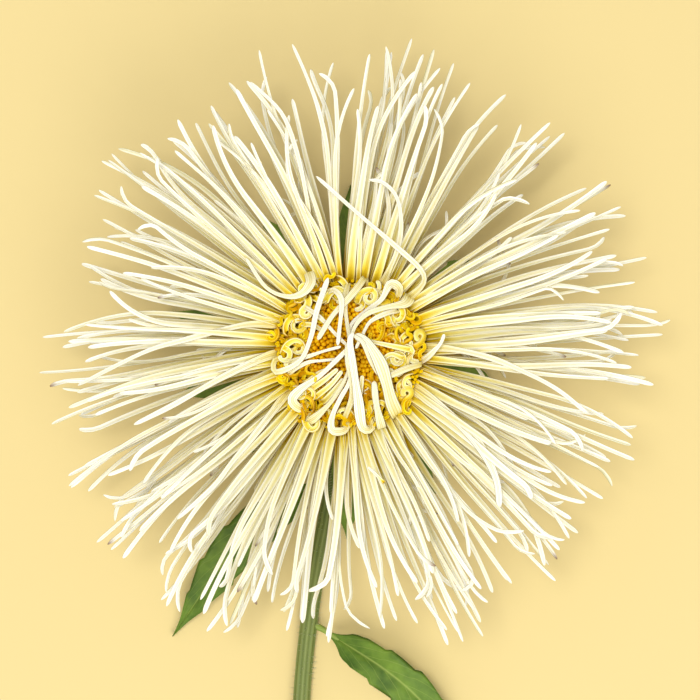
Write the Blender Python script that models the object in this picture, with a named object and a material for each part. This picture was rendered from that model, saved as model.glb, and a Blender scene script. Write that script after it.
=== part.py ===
"""A picked, half-dried China aster with needle petals, lying on its back with its stem along the surface.

Metres, +Z up, the surface at z = 0. The bloom faces +Z and the stem runs towards -Y. The flower is
laid out round the bloom's own axis, and at the end moved so that the origin is the bottom centre of
its box.
"""

import math
import random

import bmesh
import bpy
from mathutils import Vector
from mathutils.geometry import delaunay_2d_cdt

MM = 0.001
GAP = 0.3 * MM

# Heights above the surface
STEM_RADIUS = 1.7 * MM
NECK_BEND = 12.0 * MM
CUP_BASE = STEM_RADIUS + NECK_BEND + GAP
CUP_TOP = 21.6 * MM
CORE_BASE = CUP_TOP + GAP
CORE_TOP = 28.4 * MM
EYE_BASE = CORE_TOP + GAP

# Radii from the bloom's axis
BLOOM_REACH = 57.0 * MM
CORE_RADIUS = 12.6 * MM
CUP_RADIUS = 11.2 * MM
DISC_RADIUS = 10.2 * MM
RING_INNER = DISC_RADIUS + GAP
RING_OUTER = 12.2 * MM

# Ray petals: lowest whorl first, as (count, root height, rise in degrees, droop, share of the reach)
WHORLS = (
    (44, 22.8 * MM, 3, 0.11, 1.00),
    (44, 23.7 * MM, 12, 0.13, 0.98),
    (42, 24.6 * MM, 22, 0.19, 0.96),
    (38, 25.5 * MM, 32, 0.30, 0.90),
    (34, 26.3 * MM, 42, 0.46, 0.82),
)
ROOT_DEPTH = 1.6 * MM
PETAL_WIDTH = 1.5 * MM
PETAL_DEPTH = 0.75 * MM
PETAL_STATIONS = (0.0, 0.2, 0.46, 0.7, 0.88, 1.0)
# Where the outline of the bloom falls back, as (angle, depth)
NOTCHES = ((42, 3.0 * MM), (64, 3.0 * MM), (104, 2.0 * MM), (120, 6.0 * MM), (152, 2.0 * MM),
           (166, 3.0 * MM), (197, 3.5 * MM), (212, 3.5 * MM), (255, 2.5 * MM), (267, 3.5 * MM),
           (300, 6.0 * MM), (328, 3.5 * MM), (346, 3.5 * MM))
NOTCH_SPAN = 5.0
# How far the petals that grow side by side all lean by their tips, as (angle of the root, lean in degrees)
SWEEPS = ((0, -1), (12, -7), (22, -9), (38, -7), (52, -6), (64, 4), (78, -3), (92, -8), (103, 6),
          (117, 6), (128, 2), (142, 5), (152, 1), (161, 8), (178, 6), (195, 7), (210, 7), (222, 1),
          (240, 5), (258, 1), (270, 4), (284, 7), (300, -3), (316, 1), (340, -4), (360, -1))
# The angles that the tips of neighbouring petals gather towards
CLUMPS = (5, 18, 29, 48, 59, 76, 90, 110, 118, 130, 142, 153, 166, 180, 191,
          205, 218, 232, 246, 257, 269, 285, 293, 307, 321, 331, 341, 355)
GATHER = 0.35

# Single ray petals that bend across the others, as (width, points from root to tip), all in millimetres:
# each point is x, y and the height over the core
STRAYS = (
    (1.1, ((8.9, 8.6, -1.0), (11.6, 10.6, 2.5), (13.2, 12.6, 6.0), (12.4, 14.8, 9.0), (8.1, 18.6, 11.5),
           (0.3, 25.2, 14.5), (-5.9, 30.6, 17.0))),
    (1.1, ((5.2, 10.9, -1.0), (6.9, 14.5, 2.5), (8.5, 18.5, 7.0), (9.0, 23.1, 11.5), (8.1, 27.2, 14.5),
           (5.7, 29.6, 16.0), (3.3, 30.0, 16.5))),
    (1.1, ((-6.2, 10.6, -1.0), (-7.4, 14.2, 3.2), (-7.0, 12.4, 6.4), (-8.6, 10.4, 6.8),
           (-11.4, 9.9, 7.2), (-15.0, 11.6, 8.2), (-18.4, 16.6, 10.5))),
    (1.1, ((12.2, -2.0, -1.0), (13.8, -1.0, 2.6), (15.0, 0.2, 4.6), (16.2, 1.6, 5.6), (16.8, 3.2, 6.2))),
    (1.1, ((7.2, -10.0, -1.0), (10.5, -18.5, 3.0), (16.0, -27.8, 6.5), (19.4, -35.0, 8.0),
           (21.8, -39.8, 8.0), (21.2, -41.8, 7.0), (19.6, -42.6, 6.0))),
    (1.1, ((-1.6, 11.9, -1.0), (-2.6, 19.0, 3.0), (-3.4, 27.5, 6.5), (-4.1, 36.2, 9.0),
           (-5.7, 43.3, 10.5), (-7.9, 49.2, 11.0), (-10.2, 54.4, 10.5))),
    (1.1, ((-4.4, 11.3, -1.0), (-6.6, 19.5, 3.0), (-7.8, 28.0, 6.5), (-9.6, 36.0, 9.0),
           (-12.2, 42.4, 10.0), (-17.6, 47.8, 9.5))),
    (2.2, ((10.6, -5.6, -1.0), (14.6, -8.8, 3.6), (19.1, -12.4, 7.4), (23.0, -16.7, 10.2),
           (25.7, -22.3, 11.8), (26.3, -27.3, 12.4))),
    (1.2, ((12.2, 0.9, -1.0), (17.8, 0.6, 4.2), (24.5, -0.9, 8.2), (29.9, -3.1, 10.6),
           (36.2, -6.4, 12.4), (41.8, -10.8, 12.6))),
    (1.2, ((-11.0, 4.9, -1.0), (-17.6, 5.0, 4.2), (-22.5, 4.0, 7.2), (-29.4, 2.1, 10.2),
           (-36.2, 0.0, 11.6), (-48.1, -5.9, 10.0))),
    (1.4, ((-12.0, -0.2, -1.0), (-15.0, -0.8, 2.2), (-22.4, -4.3, 7.0), (-31.0, -9.2, 10.4),
           (-38.1, -12.8, 11.4))),
    (1.3, ((-10.4, -6.0, -1.0), (-15.8, -13.2, 5.6), (-20.8, -19.4, 9.4), (-24.2, -23.8, 11.0),
           (-30.5, -29.5, 10.6))),
)

# Petals of the innermost whorl, bent in over the eye, in the same measures
STRAPS = (
    ((-11.6, -0.9, 0.6), (-13.6, -1.6, 2.2), (-13.2, -3.6, 3.6), (-9.0, -1.6, 5.0), (-7.0, 2.6, 6.2),
     (-5.9, 7.4, 6.8), (-3.9, 13.2, 6.4)),
    ((2.6, 11.4, 0.6), (2.6, 13.2, 2.6), (1.4, 11.6, 4.6), (-0.6, 9.2, 5.4), (-3.2, 6.4, 5.6),
     (-5.8, 2.2, 5.2)),
    ((-4.6, 10.6, 0.6), (-4.0, 10.8, 3.0), (-2.7, 11.0, 4.8), (-1.5, 9.0, 5.8), (-1.9, 4.0, 6.4),
     (-2.2, 1.2, 6.4)),
    ((-8.4, 8.2, 0.6), (-8.0, 8.0, 3.4), (-5.4, 6.2, 4.6), (-2.6, 3.2, 5.4), (-1.2, 1.2, 6.2)),
    ((0.0, 11.6, 0.6), (-0.4, 12.0, 3.0), (-0.9, 8.6, 4.8), (-0.4, 4.4, 6.2), (0.2, 1.4, 7.0)),
    ((8.0, 8.4, 0.6), (8.9, 11.2, 2.4), (7.2, 12.2, 4.0), (5.6, 9.4, 5.0), (3.0, 7.4, 5.4),
     (0.2, 6.0, 5.8)),
    ((8.6, 7.9, 0.6), (10.6, 9.8, 2.6), (9.8, 8.7, 4.8), (6.6, 8.0, 5.8), (3.0, 6.8, 6.4), (0.7, 4.2, 7.2),
     (0.1, 0.6, 8.2)),
    ((8.6, 7.6, 0.6), (8.4, 7.4, 3.2), (6.4, 6.9, 4.8), (3.6, 5.4, 5.8), (2.2, 3.0, 6.8),
     (1.0, 0.6, 7.6)),
    ((-7.6, -8.8, 0.6), (-8.9, -10.2, 2.2), (-10.4, -8.6, 3.8), (-8.8, -6.6, 4.6), (-5.6, -4.4, 5.2),
     (-3.2, -2.2, 6.0), (-0.6, 0.4, 7.2)),
    ((-6.2, -10.2, 0.6), (-7.4, -12.4, 2.8), (-5.4, -11.0, 4.4), (-2.7, -8.0, 5.0), (-0.6, -4.2, 5.8),
     (0.2, -0.6, 7.4)),
    ((-0.2, -11.7, 0.6), (-0.9, -14.0, 2.4), (-3.2, -14.0, 3.8), (-3.2, -11.6, 4.8), (-1.8, -8.4, 5.6),
     (-0.2, -5.4, 6.2), (0.4, -1.4, 7.8)),
    ((2.8, -11.4, 0.6), (3.8, -13.6, 2.6), (2.2, -13.4, 4.4), (1.4, -8.0, 6.0), (0.7, -3.4, 7.4),
     (0.0, 1.8, 8.8)),
    ((-0.8, -11.6, 0.6), (-0.8, -11.4, 3.2), (0.4, -8.0, 5.0), (0.1, -4.6, 6.6), (-0.5, -1.6, 7.8),
     (-0.6, 1.6, 8.2)),
    ((11.4, -2.4, 0.6), (12.8, -2.2, 2.6), (10.0, -3.0, 4.6), (6.0, -4.4, 5.4), (4.0, -2.2, 6.4),
     (2.4, 1.8, 8.0)),
    ((7.0, -9.4, 0.6), (8.4, -11.2, 2.6), (7.4, -8.8, 4.6), (6.4, -5.0, 5.8), (5.2, -1.6, 6.8),
     (3.2, 1.8, 7.8)),
    ((4.7, -10.8, 0.6), (5.7, -13.6, 2.6), (5.2, -11.6, 4.6), (4.6, -8.6, 5.2), (4.3, -5.2, 5.2)),
    ((-11.0, -2.6, 0.6), (-10.4, -1.6, 3.2), (-7.6, -0.8, 4.4), (-4.6, 0.2, 5.2), (-1.6, 1.0, 6.4)),
    ((-10.9, -4.0, 0.6), (-10.6, -3.6, 3.0), (-7.7, -1.9, 4.2), (-4.8, -1.5, 4.9), (-2.0, -1.2, 5.6)),
)
STRAP_WIDTH = 1.4 * MM
STRAP_DEPTH = 0.7 * MM
STRAP_STATIONS = 7
STRAY_STATIONS = 10

CURLS = 20
CURL_WIDTH = 0.9 * MM
CURL_STEPS = 5

DISC_FLORETS = 130
DISC_HEIGHT = 2.6 * MM
FLORET_RELIEF = 0.55 * MM

# Leafy outer bracts as (angle, reach in millimetres)
BRACTS = ((37, 28.8), (70, 29.6), (88, 31.9), (121, 30.8), (166, 35.8), (195, 34.0),
          (222, 30.6), (270, 36.0), (300, 31.7), (326, 30.4), (350, 28.0))
BRACT_WIDTH = 5.6 * MM
BRACT_THICKNESS = 0.8 * MM
BRACT_STATIONS = 7
SCALES = 12
SCALE_REACH = 16.5 * MM

STEM_END = 108.0 * MM
STEM_SIDES = 8
STEM_LEAN = 9.5 * MM
LEAF_ROOT_HALF = 0.7 * MM
LEAF_STATIONS = 12
# Stem leaves as (root y, tip x, tip y, half width, height of the arch), all in millimetres
STEM_LEAVES = (
    (-24.0, -34.0, -54.5, 4.6, 5.0),
    (-53.0, 25.0, -80.0, 4.2, 6.5),
    (-79.0, -26.0, -103.0, 3.6, 5.0),
)


def bearing(angle):
    """The outward and the sideways unit vectors at an angle round the bloom, in degrees."""
    a = math.radians(angle)
    return Vector((math.cos(a), math.sin(a), 0)), Vector((-math.sin(a), math.cos(a), 0))


def turn_between(angle, other):
    """The signed turn from one angle to another, in degrees."""
    return (other - angle + 180) % 360 - 180


def outline_reach(angle):
    """How far the petals reach at an angle round the bloom."""
    dips = (depth * math.exp(-((turn_between(angle, at) / NOTCH_SPAN) ** 2)) for at, depth in NOTCHES)
    return BLOOM_REACH - sum(dips)


def tip_lean(angle, gather):
    """A petal's lean in degrees: that of its place, and gather of the turn on to the nearest clump."""
    angle = angle % 360
    for (start, lean), (end, next_lean) in zip(SWEEPS, SWEEPS[1:]):
        if start <= angle <= end:
            sweep = lean + (next_lean - lean) * (angle - start) / (end - start)
    nearest = min((turn_between(angle + sweep, c) for c in CLUMPS), key=abs)
    return sweep + gather * nearest


def ray_petals():
    """Every ray petal that grows outwards, as a dictionary of what shapes its line."""
    draw = random.Random(7)
    petals = []
    for whorl, (count, height, rise, droop, share) in enumerate(WHORLS):
        for k in range(count):
            angle = (k + 0.37 * whorl + draw.uniform(-0.3, 0.3)) * 360 / count
            lean = tip_lean(angle, GATHER)
            reach = outline_reach(angle + lean) * share * draw.uniform(0.86, 1.02)
            petals.append({
                "angle": angle,
                "reach": reach,
                "height": height + draw.uniform(-0.15, 0.15) * MM,
                "slope": math.tan(math.radians(rise + draw.uniform(-4.0, 4.0))),
                "droop": droop * draw.uniform(0.7, 1.3),
                "lean": reach * math.radians(lean) + draw.gauss(0, 2.2) * MM,
                "wave": draw.gauss(0, 0.4) * MM,
                "phase": draw.random(),
                "hook": draw.gauss(0, 1.8) * MM,
                "lift": draw.gauss(0, 1.4) * MM,
                "width": PETAL_WIDTH * draw.uniform(0.85, 1.15),
                "twist": draw.gauss(0, 22),
            })
    return petals


def petal_point(petal, s):
    """The middle line of a ray petal, from its root at s = 0 to its tip at s = 1."""
    out, side = bearing(petal["angle"])
    root = CORE_RADIUS - ROOT_DEPTH
    run = petal["reach"] - root
    end = max(0.0, (s - 0.6) / 0.4) ** 2
    waver = petal["wave"] * math.sin(2 * math.pi * (0.8 * s + petal["phase"])) * s
    sideways = petal["lean"] * s**1.5 + waver + petal["hook"] * end
    height = petal["height"] + run * (petal["slope"] * s - petal["droop"] * s * s) + petal["lift"] * end
    outwards = root + run * s - 0.12 * abs(petal["hook"]) * end
    return out * outwards + side * sideways + Vector((0, 0, height))


def petal_half_width(petal, s):
    """Half the width of a ray petal: narrow at its root, widest at a quarter, and blunt at its tip."""
    belly = 0.72 + 0.28 * math.sin(math.pi * min(1.0, (s + 0.05) / 0.6)) - 0.16 * max(0.0, s - 0.6)
    tip = math.sqrt(max(0.0, 1 - max(0.0, (s - 0.9) / 0.1) ** 2))
    return 0.5 * petal["width"] * belly * max(0.3, tip)


def smooth_line(points, count):
    """A Catmull-Rom curve through points, read at count places evenly spread along it."""
    padded = [points[0] * 2 - points[1], *points, points[-1] * 2 - points[-2]]
    fine = []
    for a, b, c, d in zip(padded, padded[1:], padded[2:], padded[3:]):
        for step in range(12):
            t = step / 12
            fine.append(0.5 * (2 * b + (c - a) * t + (2 * a - 5 * b + 4 * c - d) * t**2
                               + (3 * b - a - 3 * c + d) * t**3))
    fine.append(points[-1])
    travelled = [0.0]
    for a, b in zip(fine, fine[1:]):
        travelled.append(travelled[-1] + (b - a).length)
    line = []
    for i in range(count):
        goal = travelled[-1] * i / (count - 1)
        k = min(max(j for j, run in enumerate(travelled) if run <= goal + 1e-12), len(fine) - 2)
        share = (goal - travelled[k]) / max(1e-12, travelled[k + 1] - travelled[k])
        line.append(fine[k].lerp(fine[k + 1], min(1.0, share)))
    return line


def over_core(points):
    """Points given in millimetres over the core, in metres over the surface."""
    return [Vector((x * MM, y * MM, CORE_TOP + z * MM)) for x, y, z in points]


def curls():
    """The lines of the short inner florets, each a spiral that rises from the ring round the eye."""
    draw = random.Random(21)
    lines = []
    for k in range(CURLS):
        out, side = bearing((k + draw.uniform(-0.25, 0.25)) * 360 / CURLS)
        root = out * (0.5 * (RING_INNER + RING_OUTER)) + Vector((0, 0, EYE_BASE + 0.5 * MM))
        rise = draw.uniform(1.0, 1.9) * MM
        lean = draw.uniform(-1.3, 0.5) * MM
        size = draw.uniform(1.1, 1.6) * MM
        hand = draw.choice((-1, 1))
        tilt = math.radians(draw.uniform(10, 45))
        across = -out * math.cos(tilt) + Vector((0, 0, math.sin(tilt)))
        centre = root + Vector((0, 0, rise)) + out * lean + side * (hand * size)
        line = [root]
        for step in range(CURL_STEPS + 1):
            turn = math.radians(180 - 265 * step / CURL_STEPS)
            shrink = size * (1 - 0.45 * step / CURL_STEPS)
            sideways = side * (hand * shrink * math.cos(turn))
            line.append(centre + sideways + across * (shrink * math.sin(turn)))
        lines.append(line)
    return lines


def frames_along(line, up):
    """The tangent, side and normal at each point of a line, with the side kept level against up."""
    frames = []
    for i, point in enumerate(line):
        tangent = (line[min(i + 1, len(line) - 1)] - line[max(i - 1, 0)]).normalized()
        side = tangent.cross(up)
        if side.length < 0.2 and frames:
            side = frames[-1][2] - tangent * frames[-1][2].dot(tangent)
        side.normalize()
        if frames and side.dot(frames[-1][2]) < 0:
            side = -side
        frames.append((point, tangent, side, side.cross(tangent).normalized()))
    return frames


def new_object(name, bm):
    """A closed mesh as an object, with its faces in triangles that point out."""
    bmesh.ops.triangulate(bm, faces=bm.faces)
    bmesh.ops.recalc_face_normals(bm, faces=bm.faces)
    mesh = bpy.data.meshes.new(name)
    bm.to_mesh(mesh)
    bm.free()
    obj = bpy.data.objects.new(name, mesh)
    bpy.context.scene.collection.objects.link(obj)
    return obj


def loft(name, rings):
    """A closed solid through rings that hold the same number of points."""
    bm = bmesh.new()
    loops = [[bm.verts.new(p) for p in ring] for ring in rings]
    for near, far in zip(loops, loops[1:]):
        for i in range(len(near)):
            j = (i + 1) % len(near)
            bm.faces.new((near[i], near[j], far[j], far[i]))
    bm.faces.new(loops[0])
    bm.faces.new(loops[-1])
    return new_object(name, bm)


def needle(name, line, half_widths, depth, up, twist=0.0):
    """A three-sided petal, flat above and keeled below, that turns by twist degrees towards its tip."""
    rings = []
    frames = frames_along(line, up)
    for i, ((point, _, side, normal), half) in enumerate(zip(frames, half_widths)):
        turn = math.radians(twist) * (i / (len(line) - 1)) ** 2
        across = side * math.cos(turn) + normal * math.sin(turn)
        above = normal * math.cos(turn) - side * math.sin(turn)
        deep = depth * min(1.0, 0.45 + half / PETAL_WIDTH)
        face = point + above * deep * 0.4
        rings.append((face - across * half, face + across * half, point - above * deep * 0.6))
    return loft(name, rings)


def strap(name, line, half_width, depth, up):
    """A four-sided ribbon with a ridge above and below, narrowed at both ends."""
    rings = []
    last = len(line) - 1
    for i, (point, _, side, normal) in enumerate(frames_along(line, up)):
        half = half_width * (0.55 if i == last else 0.8 if i == 0 else 1.0)
        rise = normal * depth / 2
        rings.append((point - side * half, point + rise, point + side * half, point - rise))
    return loft(name, rings)


def blade(name, line, half_widths, thickness, floor=None):
    """A leaf: two thin edges with a midrib above and below, and nothing lower than floor."""
    rings = []
    for (point, _, side, normal), half in zip(frames_along(line, Vector((0, 0, 1))), half_widths):
        ribs = thickness * (0.5 if half > 1.0 * MM else 0.35)
        edge = point + normal * half * 0.18
        ring = (edge - side * half, point + normal * ribs, edge + side * half, point - normal * ribs)
        if floor is not None:
            ring = [Vector((p.x, p.y, max(p.z, floor))) for p in ring]
        rings.append(ring)
    return loft(name, rings)


def turned(name, profile, sides):
    """A solid of revolution about the bloom's axis, from (radius, height) points on its outer side."""
    rings = []
    for radius, height in profile:
        rings.append([bearing(360 * k / sides)[0] * radius + Vector((0, 0, height)) for k in range(sides)])
    return loft(name, rings)


def fuse(base, pieces):
    """Joins the pieces to the base in one Boolean union, and removes them."""
    group = bpy.data.collections.new(base.name + "_pieces")
    bpy.context.scene.collection.children.link(group)
    for piece in pieces:
        bpy.context.scene.collection.objects.unlink(piece)
        group.objects.link(piece)
    union = base.modifiers.new("union", "BOOLEAN")
    union.operation = "UNION"
    union.operand_type = "COLLECTION"
    union.collection = group
    union.solver = "MANIFOLD"
    bpy.context.view_layer.update()
    evaluated = base.evaluated_get(bpy.context.evaluated_depsgraph_get())
    joined = bpy.data.meshes.new_from_object(evaluated)
    base.modifiers.clear()
    base.data = joined
    for piece in pieces:
        bpy.data.objects.remove(piece)
    bpy.data.collections.remove(group)
    return base


def finish(obj, colour, roughness):
    """Gives an object its plain material and smooth shading with its sharp edges kept."""
    material = bpy.data.materials.new(obj.name)
    material.use_nodes = True
    shader = material.node_tree.nodes["Principled BSDF"]
    shader.inputs["Base Color"].default_value = (*colour, 1)
    shader.inputs["Roughness"].default_value = roughness
    shader.inputs["Metallic"].default_value = 0.0
    obj.data.materials.clear()
    obj.data.materials.append(material)
    obj.data.shade_smooth()
    obj.data.set_sharp_from_angle(angle=math.radians(35))
    return obj


def make_ray_petals():
    """The receptacle's core with every outward ray petal and the stray ones grown from it."""
    core = turned("ray_petals", ((CORE_RADIUS - 1 * MM, CORE_BASE), (CORE_RADIUS, CORE_BASE + 1 * MM),
                                 (CORE_RADIUS, CORE_TOP - 1 * MM), (CORE_RADIUS - 1 * MM, CORE_TOP)), 24)
    pieces = []
    for petal in ray_petals():
        line = [petal_point(petal, s) for s in PETAL_STATIONS]
        halves = [petal_half_width(petal, s) for s in PETAL_STATIONS]
        pieces.append(needle("petal", line, halves, PETAL_DEPTH, Vector((0, 0, 1)), petal["twist"]))
    for width, points in STRAYS:
        line = smooth_line(over_core(points), STRAY_STATIONS)
        pieces.append(strap("stray", line, width * MM / 2, STRAP_DEPTH, Vector((0, 0, 1))))
    return finish(fuse(core, pieces), (0.90, 0.86, 0.62), 0.55)


def make_inner_florets():
    """The ring round the eye, with its curled short florets and the petals bent in over the eye."""
    top = EYE_BASE + 1.0 * MM
    profile = ((RING_INNER, EYE_BASE), (RING_OUTER, EYE_BASE), (RING_OUTER, top), (RING_INNER, top))
    ring = turned("inner_florets", profile, 24)
    bm = bmesh.new()
    bm.from_mesh(ring.data)
    flat_ends = [f for f in bm.faces if all(v.co.xy.length < RING_INNER + 0.01 * MM for v in f.verts)]
    bmesh.ops.delete(bm, geom=flat_ends, context="FACES_ONLY")
    rims = [e for e in bm.edges if e.is_boundary]
    bmesh.ops.bridge_loops(bm, edges=rims)
    bmesh.ops.triangulate(bm, faces=bm.faces)
    bmesh.ops.recalc_face_normals(bm, faces=bm.faces)
    bm.to_mesh(ring.data)
    bm.free()
    pieces = []
    for line in curls():
        pieces.append(strap("curl", line, CURL_WIDTH / 2, CURL_WIDTH, Vector((0, 0, 1))))
    for points in STRAPS:
        line = smooth_line(over_core(points), STRAP_STATIONS)
        pieces.append(strap("strap", line, STRAP_WIDTH / 2, STRAP_DEPTH, Vector((0, 0, 1))))
    return finish(fuse(ring, pieces), (0.86, 0.74, 0.30), 0.55)


def dome_height(radius):
    """Height of the eye's dome at a distance from its axis."""
    return EYE_BASE + 0.5 * MM + DISC_HEIGHT * (1 - (radius / DISC_RADIUS) ** 2)


def make_disc_florets():
    """The eye: a low dome whose florets stand out as peaks on a sunflower's spiral."""
    golden = math.radians(137.50776)
    flat = []
    for n in range(DISC_FLORETS):
        radius = (DISC_RADIUS - 0.7 * MM) * math.sqrt((n + 0.5) / DISC_FLORETS)
        flat.append(Vector((radius * math.cos(n * golden), radius * math.sin(n * golden))))
    rim_points = 40
    flat += [bearing(360 * k / rim_points)[0].xy * DISC_RADIUS for k in range(rim_points)]
    places, _, cells, *_ = delaunay_2d_cdt(flat, [], [], 0, 1e-7)
    bm = bmesh.new()
    verts = [bm.verts.new((p.x, p.y, dome_height(p.length))) for p in places]
    for cell in cells:
        bm.faces.new([verts[i] for i in cell])
    bmesh.ops.recalc_face_normals(bm, faces=bm.faces)
    if sum(f.normal.z for f in bm.faces) < 0:
        bmesh.ops.reverse_faces(bm, faces=bm.faces)
    bmesh.ops.poke(bm, faces=bm.faces, offset=-FLORET_RELIEF)
    rim = [e for e in bm.edges if e.is_boundary]
    skirt = bmesh.ops.extrude_edge_only(bm, edges=rim)["geom"]
    for v in (g for g in skirt if isinstance(g, bmesh.types.BMVert)):
        v.co.z = EYE_BASE
    bmesh.ops.holes_fill(bm, edges=[e for e in bm.edges if e.is_boundary])
    return finish(new_object("disc_florets", bm), (0.78, 0.42, 0.03), 0.6)


def bracts():
    """The leafy outer bracts, each as its line and half widths; every other one touches the surface."""
    draw = random.Random(5)
    found = []
    for k, (angle, reach) in enumerate(BRACTS):
        out, side = bearing(angle)
        tip = 0.0 if k % 2 == 0 else draw.uniform(2.5, 6.5) * MM
        sway = draw.uniform(-1.2, 1.2) * MM
        points = (
            out * (CUP_RADIUS - 3 * MM) + Vector((0, 0, 18.6 * MM)),
            out * 15 * MM + side * sway * 0.3 + Vector((0, 0, 18.2 * MM)),
            out * 22 * MM + side * sway * 0.7 + Vector((0, 0, 12.5 * MM + tip * 0.5)),
            out * reach * MM + side * sway + Vector((0, 0, tip)),
        )
        width = BRACT_WIDTH * draw.uniform(0.85, 1.1)
        found.append((points, width))
    return found


def lance(s):
    """Share of its greatest width that a lance-shaped leaf has at s, from root to tip."""
    return 0.34 + 0.66 * math.sin(math.pi * min(1.0, s * 1.05 + 0.02)) ** 0.9 if s < 0.94 else 0.16


def make_involucre():
    """The green cup under the bloom, with its inner scales and leafy outer bracts."""
    cup = turned("involucre", ((2.0 * MM, CUP_BASE), (3.2 * MM, CUP_BASE + 1.2 * MM), (7.4 * MM, 17.4 * MM),
                               (10.4 * MM, 19.6 * MM), (CUP_RADIUS, CUP_TOP)), 18)
    pieces = []
    for points, width in bracts():
        line = smooth_line(list(points), BRACT_STATIONS)
        halves = [width / 2 * lance(i / (BRACT_STATIONS - 1)) for i in range(BRACT_STATIONS)]
        pieces.append(blade("bract", line, halves, BRACT_THICKNESS, floor=0.0))
    for k in range(SCALES):
        out, _ = bearing((k + 0.5) * 360 / SCALES)
        lift = 0.8 * MM * (k % 2)
        line = smooth_line([out * (CUP_RADIUS - 2.5 * MM) + Vector((0, 0, 19.0 * MM + lift)),
                            out * (CUP_RADIUS + 1.5 * MM) + Vector((0, 0, 20.3 * MM + lift)),
                            out * SCALE_REACH + Vector((0, 0, 20.4 * MM + lift))], 4)
        pieces.append(blade("scale", line, [1.5 * MM, 1.9 * MM, 1.5 * MM, 0.5 * MM], BRACT_THICKNESS))
    return finish(fuse(cup, pieces), (0.16, 0.24, 0.07), 0.65)


def stem_sway(distance):
    """How far the lying stem has wandered sideways at a distance from the bloom's axis."""
    along = max(0.0, distance - NECK_BEND) / (STEM_END - NECK_BEND)
    return -STEM_LEAN * math.sin(0.75 * math.pi * along)


def stem_line():
    """The stem's middle line: down from the cup, round the neck, and along the surface to its cut end."""
    lying = STEM_RADIUS * math.cos(math.pi / STEM_SIDES)
    line = []
    for step in range(7):
        turn = math.radians(90 * step / 6)
        drop = (STEM_RADIUS + NECK_BEND - lying) * (1 - math.sin(turn))
        line.append(Vector((0, -NECK_BEND * (1 - math.cos(turn)), lying + drop)))
    for step in range(1, 11):
        y = NECK_BEND + (STEM_END - NECK_BEND) * step / 10
        line.append(Vector((stem_sway(y), -y, lying)))
    return line


def make_stem():
    """The cut stem, ribbed, a little swollen where it meets the cup."""
    rings = []
    line = stem_line()
    for i, (point, _, side, normal) in enumerate(frames_along(line, Vector((1, 0, 0)))):
        swell = 1.18 if i == 0 else 1.06 if i == 1 else 1.0
        ring = []
        for k in range(STEM_SIDES):
            turn = 2 * math.pi * (k + 0.5) / STEM_SIDES
            place = point + (side * math.cos(turn) + normal * math.sin(turn)) * STEM_RADIUS * swell
            ring.append(Vector((place.x, place.y, max(place.z, 0.0))))
        rings.append(ring)
    return finish(loft("stem", rings), (0.24, 0.30, 0.11), 0.6)


def make_stem_leaves():
    """The toothed stem leaves, each rooted beside the stem and arched over the surface."""
    made = []
    for number, (root_y, tip_x, tip_y, half, arch) in enumerate(STEM_LEAVES, start=1):
        hand = 1 if tip_x > 0 else -1
        clear = STEM_RADIUS + GAP + LEAF_ROOT_HALF
        root = Vector((stem_sway(-root_y * MM) + hand * clear, root_y * MM, 2.0 * MM))
        tip = Vector((tip_x * MM, tip_y * MM, 0.8 * MM))
        middle = root.lerp(tip, 0.45) + Vector((hand * 2.2 * MM, 2.0 * MM, arch * MM))
        line = smooth_line([root, middle, tip], LEAF_STATIONS)
        halves = []
        for i in range(LEAF_STATIONS):
            tooth = 1.0 if i % 2 else 0.78
            widest = half * MM * lance(i / (LEAF_STATIONS - 1))
            halves.append(max(0.5 * MM, widest * (tooth if 2 < i < LEAF_STATIONS - 2 else 0.8)))
        halves[0] = LEAF_ROOT_HALF
        leaf = blade(f"stem_leaf_{number}", line, halves, 0.9 * MM, floor=0.15 * MM)
        made.append(finish(leaf, (0.17, 0.26, 0.08), 0.6))
    return made


def centre_on_box(objects):
    """Moves the whole flower so that the origin is the bottom centre of its box."""
    corners = [v.co for obj in objects for v in obj.data.vertices]
    low = Vector([min(c[i] for c in corners) for i in range(3)])
    high = Vector([max(c[i] for c in corners) for i in range(3)])
    shift = Vector((-(low.x + high.x) / 2, -(low.y + high.y) / 2, -low.z))
    for obj in objects:
        obj.location = shift


def main():
    for obj in list(bpy.data.objects):
        bpy.data.objects.remove(obj)
    made = [make_ray_petals(), make_inner_florets(), make_disc_florets(), make_involucre(), make_stem()]
    made += make_stem_leaves()
    centre_on_box(made)


main()
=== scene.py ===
"""The looks of a picked, half-dried China aster with needle petals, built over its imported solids.

Metres, +Z up, the surface at z = 0. The bloom faces +Z on its own axis, and the stem lies towards -Y.
The solids' own rules are repeated here, so that every fine petal runs where its solid one does.
"""

import math
import random

import bpy
import numpy as np
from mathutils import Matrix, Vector, noise


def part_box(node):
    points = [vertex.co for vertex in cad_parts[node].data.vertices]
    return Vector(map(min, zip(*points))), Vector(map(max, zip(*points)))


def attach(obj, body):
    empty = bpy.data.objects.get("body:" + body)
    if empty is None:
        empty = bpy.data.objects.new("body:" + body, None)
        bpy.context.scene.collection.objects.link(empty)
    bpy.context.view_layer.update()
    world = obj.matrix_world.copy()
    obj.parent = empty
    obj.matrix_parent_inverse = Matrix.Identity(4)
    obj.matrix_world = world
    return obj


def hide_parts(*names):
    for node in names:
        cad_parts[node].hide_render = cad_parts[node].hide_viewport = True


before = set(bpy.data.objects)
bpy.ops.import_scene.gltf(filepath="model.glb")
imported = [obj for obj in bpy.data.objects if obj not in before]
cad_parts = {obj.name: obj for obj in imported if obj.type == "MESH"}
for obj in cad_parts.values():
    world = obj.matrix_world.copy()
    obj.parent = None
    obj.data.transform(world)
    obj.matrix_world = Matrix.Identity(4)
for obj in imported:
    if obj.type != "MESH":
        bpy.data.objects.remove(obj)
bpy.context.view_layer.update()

MM = 0.001
GAP = 0.3 * MM
UP = Vector((0, 0, 1))
GOLDEN_ANGLE = 137.50776

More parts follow.
